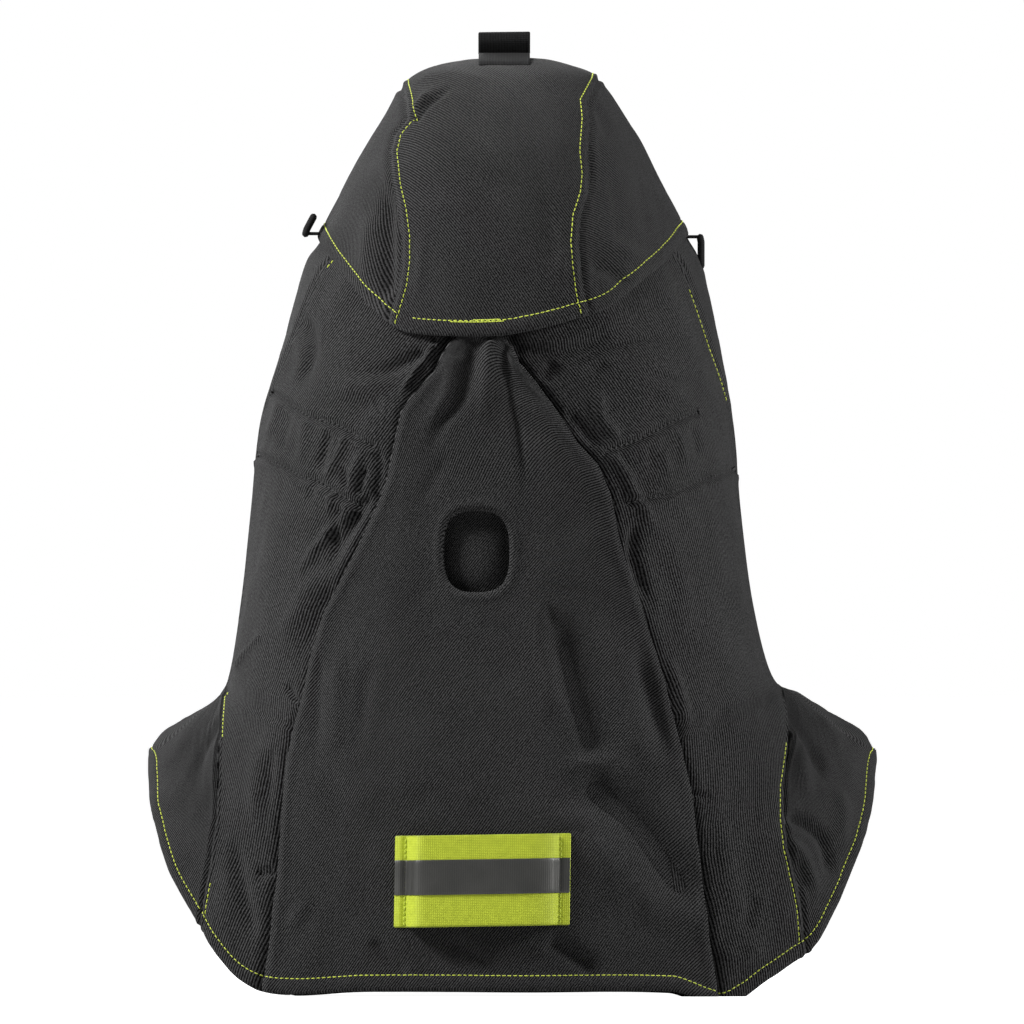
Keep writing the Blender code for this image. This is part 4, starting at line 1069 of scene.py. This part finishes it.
def tuck_under(distance):
    """The side panels fall away towards the edge of the back panel that covers them."""
    return -TUCK_DEPTH * MM * np.exp(-(distance / TUCK_REACH) ** 2)


def build_sides():
    hems = []
    patches = {}
    for side, word, lines, listed in ((-1, "left", CHANNELS_LEFT, LEFT_FOLDS),
                                      (1, "right", CHANNELS_RIGHT, RIGHT_FOLDS)):
        if side < 0:
            patch = Patch(BODY, lambda v: -side_seam(v, -1), lap_left, BODY_TOP, CAPE_HEM)
            from_seam, from_lap = patch.from_left, patch.from_right
        else:
            patch = Patch(BODY, lap_right, lambda v: side_seam(v, 1), BODY_TOP, CAPE_HEM)
            from_seam, from_lap = patch.from_right, patch.from_left
        lift = folds(patch.x, patch.h, patch.back, listed) + channels(patch.x, patch.h, patch.back, lines)
        lift += drape(patch.cloth, 51 + side, 1.05) * smooth(from_seam / 0.014)
        under = smooth((LAP - 0.0005 - from_lap) / 0.006)
        lift = lift + tuck_under(from_lap - LAP)
        lift = lift * (1 - under) + under * np.minimum(lift, -0.0006)
        lift += seam_relief(from_seam, 0.6 + 0.8 * smooth(patch.v - 6.5)) + groove(from_seam - FELL, 0.5, 1.1)
        lift += hem_relief(patch.from_bottom)
        patch.raise_by(lift)
        patches[word] = patch
        cloth_piece(f"side_panel_{word}_cloth", patch, TWILL, [f"side_panel_{word}"],
                    12 if side < 0 else -4, scale=0.76)
        hems += patch.line_in_from("bottom", TOPSTITCH, lambda x, h: abs(x) > 0.100)
    left = patches["left"].line_in_from("left", FELL, lambda x, h: 0.141 < h < 0.168 or 0.046 < h < 0.066)
    stitch_piece("gusset_stitches_left", left, nodes=["gusset_thread_left"], seed=24)
    right = patches["right"].line_in_from("right", FELL, lambda x, h: 0.030 < h < 0.142)
    stitch_piece("gusset_stitches_right", right, nodes=["gusset_thread_right"], seed=25)
    front = patches["right"].line_in_from("right", FELL, lambda x, h: 0.324 < h < 0.386)
    stitch_piece("side_stitches_right", front, nodes=["side_thread_right"], seed=26)
    short = patches["left"].line_in_from("left", FELL, lambda x, h: 0.396 < h < 0.404)
    if short:
        stitch_piece("side_stitches_left", short, seed=27)
    for word, lines in (("left", CHANNELS_LEFT), ("right", CHANNELS_RIGHT)):
        runs = [line_on(patches[word], line) for line in lines]
        stitch_piece(f"channel_stitches_{word}", runs, BLACK_THREAD, seed=28, pitch=0.0032, width=2.4)
    return hems


def line_on(patch, line):
    """A line of (across, height) points in millimetres laid on a patch, as (point, normal) rows."""
    count = 8 * len(line)
    places = through(np.column_stack([np.arange(len(line)), np.array(line, float) * MM]),
                     np.linspace(0, len(line) - 1, count))
    rows = []
    flat = np.concatenate([patch.points, patch.normal], -1).reshape(-1, 6)
    seen = np.stack([patch.x.ravel(), patch.h.ravel()], -1)
    facing = patch.back.ravel() > 0.3
    for place in places:
        distance = np.where(facing, np.linalg.norm(seen - place, axis=1), 1.0)
        near = np.argsort(distance)[:4]
        if distance[near[0]] > 0.003:
            continue
        weight = 1 / (distance[near] + 1e-5)
        rows.append((flat[near] * weight[:, None]).sum(0) / weight.sum())
    return np.array(rows)


def build_gussets():
    hems = []
    apex = SIDE_SEAM[-1][0] + 0.05
    for side, word in ((-1, "left"), (1, "right")):
        if side < 0:
            patch = Patch(BODY, lambda v: -front_seam(v), lambda v: -side_seam(v, -1), apex, CAPE_HEM)
        else:
            patch = Patch(BODY, lambda v: side_seam(v, 1), front_seam, apex, CAPE_HEM)
        seam = np.minimum(patch.from_left, patch.from_right)
        lift = drape(patch.cloth, 61 + side, 1.1) * smooth(seam / 0.014)
        if side > 0:
            lift += folds(patch.x, patch.h, patch.back, GUSSET_FOLDS)
        else:
            lift += folds(-patch.x, patch.h, patch.back, GUSSET_FOLDS[:3]) * 0.5
        front = 1 - patch.back
        lift += front * smooth(seam / 0.014) * (2.0 * MM * np.sin(patch.cloth[..., 0] / 0.0105))
        lift += seam_relief(seam, 1.4)
        lift += hem_relief(patch.from_bottom)
        patch.raise_by(lift)
        cloth_piece(f"shoulder_gusset_{word}_cloth", patch, TWILL, [f"shoulder_gusset_{word}"],
                    30 * side)
        hems += patch.line_in_from("bottom", TOPSTITCH)
    return hems


FRONT_FOLDS = [
    ([(20, 250), (26, 170), (30, 60)], 9.0, 2.6), ([(44, 240), (56, 150), (62, 50)], 9.0, -3.0),
    ([(72, 250), (86, 160), (96, 60)], 9.0, 3.0), ([(100, 230), (118, 140), (128, 70)], 8.0, -2.4),
    ([(62, 300), (88, 286), (112, 290)], 4.0, -1.6), ([(58, 330), (88, 322), (110, 330)], 5.0, 1.6),
    ([(12, 230), (34, 214), (60, 216)], 5.0, -1.5)]


def front_relief(patch, side):
    """Soft hanging folds down the bib, which the photographed side doesn't show."""
    x, h = patch.x * side, patch.h
    chin = smooth((0.30 - h) / 0.12)
    front = smooth((np.abs(patch.u) - 1.0) / 0.25)
    lift = drape(patch.cloth, 71 + side, 1.1)
    for points, width, height in FRONT_FOLDS:
        lift += fold(x, h, points, width, height) * front * (0.4 + 0.6 * chin)
    return lift


def build_front():
    hems = []
    for side, word in ((-1, "left"), (1, "right")):
        outer, inner = (lambda v: side * front_seam(v)), (lambda v: side * face_edge(v, side))
        edges = (outer, inner) if side > 0 else (inner, outer)
        patch = Patch(BODY, *edges, BODY_TOP, CAPE_HEM, 0.0024)
        from_seam = patch.from_left if side > 0 else patch.from_right
        from_face = patch.from_right if side > 0 else patch.from_left
        lift = front_relief(patch, side) * smooth(from_face / 0.02 + 0.2) * smooth(from_seam / 0.014)
        lift += seam_relief(from_seam, 0.6 + 0.8 * smooth(patch.v - 6.5)) + hem_relief(patch.from_bottom)
        lift -= 0.9 * MM * np.exp(-(from_face / 0.0028) ** 2)
        patch.raise_by(lift)
        cloth_piece(f"front_panel_{word}_cloth", patch, TWILL, [f"front_panel_{word}"],
                    37 * side)
        hems += patch.line_in_from("bottom", TOPSTITCH)
    return hems


def build_face():
    """The band sewn round the sides and chin of the face opening, and the elastic under it."""
    for name, nodes, mat, slot, inset, width, lift, thick, puff in (
            ("face_elastic_strip", ["face_elastic"], ELASTIC, "elastic", 0.004, 0.007, 0.0016, 0.0010, 0.0),
            ("face_band_cloth", ["face_band"], TWILL, "aramid_twill", 0.0005, 0.0145, 0.0040, 0.0020, 1.3)):
        s = np.linspace(0, 1, 260)
        t = np.linspace(0, 1, 12)
        angle = np.radians(30 - 240 * s)[None, :]
        grow = inset + width * t[:, None]
        across = (FACE_HALF_WIDTH + grow) * np.cos(angle)
        across = np.where(np.abs(across) < 0.0004, 0.0004, across)
        height = FACE_CENTRE + (FACE_HALF_HEIGHT + grow) * np.sin(angle)
        u, v = locate(BODY, across.ravel(), height.ravel(), front=True)
        base, normal = on_form(BODY, u, v), form_normal(BODY, u, v)
        length = np.broadcast_to(s * 0.30, across.shape).ravel()
        breadth = np.broadcast_to(t[:, None] * width, across.shape).ravel()
        ripple = puff * MM * (0.6 * np.sin(np.pi * np.broadcast_to(t[:, None], across.shape).ravel())
                              + 0.35 * np.sin(length / 0.0017 + 3 * np.sin(length / 0.021)))
        points = base + normal * (lift + ripple)[:, None]
        index = np.arange(points.shape[0]).reshape(across.shape)
        faces = grid_faces(index)
        if diagonal_cross(points, faces)[:, 1].mean() < 0:
            faces = faces[:, ::-1]
        cloth = turned(np.stack([length, breadth], -1), 45)
        shelled = shell(points, faces, cloth, thick)
        add_piece(name, make_mesh(name, *shelled), mat, "hood", nodes)
        if puff:
            edge = np.concatenate([points.reshape(12, -1, 3)[8], normal.reshape(12, -1, 3)[8]], -1)
            stitch_piece("face_band_stitches", [edge], seed=29)


def build_linings():
    """Inside layers: the crown and neck linings, the hem facings and the elastics."""
    whole = (lambda v: np.full_like(v, -2.0), lambda v: np.full_like(v, 2.0))
    for name, levels, edges, top, bottom, depth, thick, mat, slot, seed in (
            ("crown_lining", CROWN, whole, 0.05, CROWN_HEM - 0.90, LINING_DEPTH, LINING, LINING_CLOTH,
             "lining_cloth", 81),
            ("neck_lining", BODY, (lambda v: -face_edge(v, -1) + 0.03, lambda v: face_edge(v, 1) - 0.03),
             0.7, CAPE_HEM - 0.75, LINING_DEPTH, LINING, LINING_CLOTH, "lining_cloth", 82),
            ("crown_hem_facing", CROWN, whole, CROWN_HEM - 0.28, CROWN_HEM - 0.04, 0.0031, HEM_THICK, TWILL,
             "aramid_twill", 83),
            ("cape_hem_facing", BODY, whole, CAPE_HEM - 0.45, CAPE_HEM - 0.06, 0.0034, HEM_THICK, TWILL,
             "aramid_twill", 84),
            ("elastic_left", BODY, None, -1, 0, 0.0034, 0.001, ELASTIC, "elastic", 85),
            ("elastic_right", BODY, None, 1, 0, 0.0034, 0.001, ELASTIC, "elastic", 86)):
        if edges is None:
            patch = elastic_patch(top)
        else:
            patch = Patch(levels, *edges, top, bottom, 0.0040)
        lift = 0.35 * drape(patch.cloth, seed) - depth
        if mat is ELASTIC:
            lift = -depth + 0.3 * MM * np.sin(patch.cloth[..., 0] / 0.0011)
        seen = np.exp(-((patch.x - HOLE_CENTRE[0]) / 0.030) ** 2 - ((patch.h - HOLE_CENTRE[1]) / 0.034) ** 2)
        patch.raise_by(np.minimum(lift, -depth + 0.0004) - HOLE_DEPTH * seen * patch.back * (levels is BODY))
        cloth_piece(name + "_cloth", patch, mat, [name], 30, thick)


def elastic_patch(side):
    """A strip of elastic running from the back panel's edge round to the front."""
    patch = Patch(BODY, lambda v: np.full_like(v, side * 0.44), lambda v: np.full_like(v, side * 1.46),
                  3.6, 4.1, 0.0025)
    s = np.linspace(0, 1, patch.u.shape[1])[None, :]
    t = np.linspace(0, 1, patch.u.shape[0])[:, None]
    patch.v = 4.05 - 1.15 * s + 0.52 * (t - 0.5)
    if side < 0:
        patch.u, patch.v = patch.u[:, ::-1], patch.v[:, ::-1]
    patch.settle()
    return patch


# ---------------------------------------------------------------- tape
TAPE_HEIGHT, TAPE_WIDTH, TAPE_THICK = 0.0668, 0.0486, 0.0011
TAPE_LEFT, TAPE_RIGHT = -0.0608, 0.0332
TAPE_STITCH_LEFT, TAPE_STITCH_RIGHT = -0.0550, 0.0268
TAPE_STAND = 0.0090          # how far the loose middle stands off the back
TAPE_LIFT = 0.0014
TAPE_MIDDLE = -0.0130
TAPE_TURN = math.radians(0.9)


def behind(across, height):
    """How far back the back panel's outside is."""
    u, v = locate(BODY, np.array([across]), np.array([height]))
    return float((on_form(BODY, u, v) + form_normal(BODY, u, v) * BACK_LIFT)[0, 1])


def ribbon(name, path, width, thickness, mat, body, nodes, up, rows=16):
    """A strip swept along path, a curve of points, with its width along up."""
    path = np.asarray(path, float)
    gone = np.concatenate([[0], np.cumsum(np.linalg.norm(np.diff(path, axis=0), axis=1))])
    t = np.linspace(-0.5, 0.5, rows + 1)
    up = unit(np.asarray(up, float))
    tangent = unit(np.gradient(path, axis=0))
    normal = unit(np.cross(tangent, up))
    points = path[None, :, :] + t[:, None, None] * width * up
    index = np.arange(points.shape[0] * points.shape[1]).reshape(points.shape[:2])
    faces, flat = grid_faces(index), points.reshape(-1, 3)
    out = diagonal_cross(flat, faces)
    if (out * np.broadcast_to(normal[None], points.shape).reshape(-1, 3)[faces[:, 0]]).sum() < 0:
        faces = faces[:, ::-1]
    cloth = np.stack(np.broadcast_arrays(gone[None, :], (t * width)[:, None]), -1).reshape(-1, 2)
    shelled = shell(flat, faces, cloth, thickness)
    add_piece(name, make_mesh(name, *shelled), mat, body, nodes)
    return points, normal


def smooth_path(points, steps):
    points = np.asarray(points, float)
    return through(np.column_stack([np.arange(len(points)), points]),
                   np.linspace(0, len(points) - 1, steps))


def build_tape():
    low, high = behind(-0.014, 0.042), behind(-0.014, 0.092)
    lean = math.atan2(high - low, 0.050)
    up = np.array([math.sin(-TAPE_TURN) * -1, math.sin(lean), math.cos(lean)])
    touch = {x: behind(x, TAPE_HEIGHT) - TAPE_LIFT
             for x in (TAPE_LEFT, TAPE_STITCH_LEFT, TAPE_STITCH_RIGHT, TAPE_RIGHT)}
    face = behind(-0.014, TAPE_HEIGHT) - TAPE_STAND
    rise_left, rise_right = touch[TAPE_STITCH_LEFT], touch[TAPE_STITCH_RIGHT]
    outline = [(TAPE_LEFT, touch[TAPE_LEFT]), (-0.0580, rise_left), (TAPE_STITCH_LEFT, rise_left),
               (-0.0541, rise_left - 0.0012), (-0.0536, rise_left - 0.0040), (-0.0520, rise_left - 0.0066),
               (-0.0480, face + 0.0012), (-0.0360, face), (-0.0130, face - 0.0003), (0.0060, face),
               (0.0130, face + 0.0007), (0.0190, face + 0.0022), (0.0236, face + 0.0043),
               (0.0260, rise_right - 0.0016), (TAPE_STITCH_RIGHT + 0.0008, rise_right),
               (0.0300, rise_right), (TAPE_RIGHT, touch[TAPE_RIGHT])]
    path = smooth_path(outline, 190)
    curve = np.array([[x, y, TAPE_HEIGHT - HEAD_TOP + (x - TAPE_MIDDLE) * math.tan(TAPE_TURN)]
                      for x, y in path])
    grid, normal = ribbon("reflective_tape", curve, TAPE_WIDTH, TAPE_THICK, TAPE, "hood", ["tape_loop"],
                          up, rows=40)
    lifted = curve + normal * 0.00035 + np.array([0, 0, 0.0020])
    ribbon("silver_stripe", lifted, 0.0185, 0.0005, FILM, "hood", ["tape_stripe"],
           up, rows=10)
    columns = []
    for x in (TAPE_STITCH_LEFT - 0.0006, TAPE_STITCH_RIGHT + 0.0016):
        k = int(np.argmin(np.abs(path[:, 0] - x)))
        columns.append(np.concatenate([grid[:, k] - np.array([0, 0.0001, 0]),
                                       np.broadcast_to(normal[k], grid[:, k].shape)], -1))
    stitch_piece("tape_stitches", columns, seed=31, pitch=0.0028)


# ---------------------------------------------------------------- webbing loops
LOOP_WIDTH, LOOP_DEPTH, WEB = 0.0265, 0.0088, 0.0016


def build_loops():
    bodies = {j["child"]: Vector(j.get("pos_m") or j.get("pos")) for j in frame["joints"]}
    pivot = np.array(bodies["hanging_loop"])
    half = LOOP_DEPTH / 2 - WEB / 2
    ring = [(0.0004, 0.0006), (0.0019, 0.0034), (half * 0.97, 0.0075), (half, 0.0104), (half * 0.86, 0.0124),
            (half * 0.4, 0.0130), (0.0, 0.0130), (-half * 0.4, 0.0130), (-half * 0.86, 0.0124),
            (-half, 0.0104),
            (-half * 0.97, 0.0075), (-0.0019, 0.0034), (-0.0004, 0.0006)]
    path = smooth_path([(0, y, z) for y, z in ring], 90)
    ribbon("hanging_loop_webbing", path + pivot, LOOP_WIDTH, WEB, WEBBING, "hanging_loop", ["top_loop"],
           (1, 0, 0.012), rows=16)
    across = pivot[0]
    tail = []
    for y, z in ((-0.0335, 0.0012), (-0.0300, 0.0030), (-0.0200, 0.0054), (-0.0100, 0.0069), (0.0, 0.0074),
                 (0.0070, 0.0071), (0.0140, 0.0061)):
        tail.append((across, y, z))
    tail = smooth_path(tail, 60)
    ribbon("hanging_loop_tails", tail, LOOP_WIDTH, 0.0013, WEBBING, "hood", ["top_loop_tails"],
           (1, 0, 0), rows=12)
    for word, side, lean in (("left", -1, math.radians(28)), ("right", 1, math.pi)):
        low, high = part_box(f"temple_tab_{word}")
        middle = (np.array(low) + np.array(high)) / 2
        width = high[1] - low[1] - 0.0008
        tab = np.stack([np.linspace(-0.0046, 0.0028, 16) * side, np.zeros(16), np.zeros(16)], -1) + middle
        ribbon(f"temple_tab_{word}_webbing", tab, width, 0.0017, WEBBING, "hood", [f"temple_tab_{word}"],
               (0, 1, 0), rows=12)
        pivot = np.array(bodies[f"{word}_temple_loop"])
        out = np.array([math.sin(lean), 0, math.cos(lean)])
        beside = np.array([math.cos(lean), 0, -math.sin(lean)])
        tip = 0.0112 if side < 0 else 0.0166
        reach = np.linspace(0.0008, tip, 24)
        swell = 0.0019 - 0.0006 * smooth((0.004 - reach) / 0.004)
        path = pivot + np.outer(reach, out) - np.outer(swell, beside)
        ribbon(f"temple_loop_{word}_webbing", path, width, 0.0038, WEBBING, f"{word}_temple_loop",
               [f"temple_loop_{word}"], (0, 1, 0), rows=12)


# ---------------------------------------------------------------- floor, light and camera
AMBIENT = 0.10


def add_stage():
    mesh = bpy.data.meshes.new("floor")
    bm = bmesh.new()
    bmesh.ops.create_circle(bm, cap_ends=True, radius=40.0, segments=96)
    bm.to_mesh(mesh)
    bm.free()
    floor = bpy.data.objects.new("floor", mesh)
    floor.location = (0, 0, cad_box[0][2] - 0.0006)
    bpy.context.scene.collection.objects.link(floor)
    mat, tree, shader = new_material("pale_floor", 0.9)
    shader.inputs["Base Color"].default_value = (0.50, 0.50, 0.50, 1)
    shader.inputs["Emission Color"].default_value = (1, 1, 1, 1)
    seen = node(tree, "ShaderNodeLightPath").outputs["Is Camera Ray"]
    tree.links.new(math_node(tree, "MULTIPLY", seen, 0.95), shader.inputs["Emission Strength"])
    mesh.materials.append(mat)

    world = bpy.data.worlds.new("studio")
    world.use_nodes = True
    tree = world.node_tree
    tree.nodes["Background"].inputs["Color"].default_value = (1, 1, 1, 1)
    seen = node(tree, "ShaderNodeLightPath").outputs["Is Camera Ray"]
    strength = math_node(tree, "ADD", math_node(tree, "MULTIPLY", seen, 1.0 - AMBIENT), AMBIENT)
    tree.links.new(strength, tree.nodes["Background"].inputs["Strength"])
    bpy.context.scene.world = world

    middle = Vector((0, 0, -0.25))
    for name, place, size, power in (("key", (-1.9, -0.62, 1.35), 0.6, 98),
                                     ("fill", (2.0, -0.40, 0.55), 0.7, 42),
                                     ("top", (-0.1, -0.7, 2.1), 0.8, 7),
                                     ("front", (-0.8, 2.0, 1.0), 1.4, 40)):
        lamp = bpy.data.lights.new(name, "AREA")
        lamp.size = size
        lamp.energy = power
        obj = bpy.data.objects.new(name, lamp)
        obj.location = place
        obj.rotation_euler = (middle - obj.location).to_track_quat("-Z", "Y").to_euler()
        obj.visible_camera = False
        bpy.context.scene.collection.objects.link(obj)


def add_camera():
    distance, seen = 25.0, 0.553
    camera = bpy.data.cameras.new("camera")
    camera.sensor_width = 36.0
    camera.lens = camera.sensor_width * distance / seen
    camera.clip_end = 120.0
    obj = bpy.data.objects.new("camera", camera)
    obj.location = (0.0022, -distance - 0.06, -0.2399)
    obj.rotation_euler = (math.pi / 2, 0, 0)
    bpy.context.scene.collection.objects.link(obj)
    bpy.context.scene.camera = obj
    bpy.context.scene.view_settings.view_transform = "Standard"


def main():
    add_camera()
    build_crown()
    hem = build_back()
    hole_ring()
    build_underlay()
    hem += build_sides()
    hem += build_gussets()
    hem += build_front()
    stitch_piece("cape_hem_stitches", hem, nodes=["cape_hem_thread"], seed=30)
    build_face()
    build_linings()
    build_tape()
    build_loops()
    add_stage()


main()
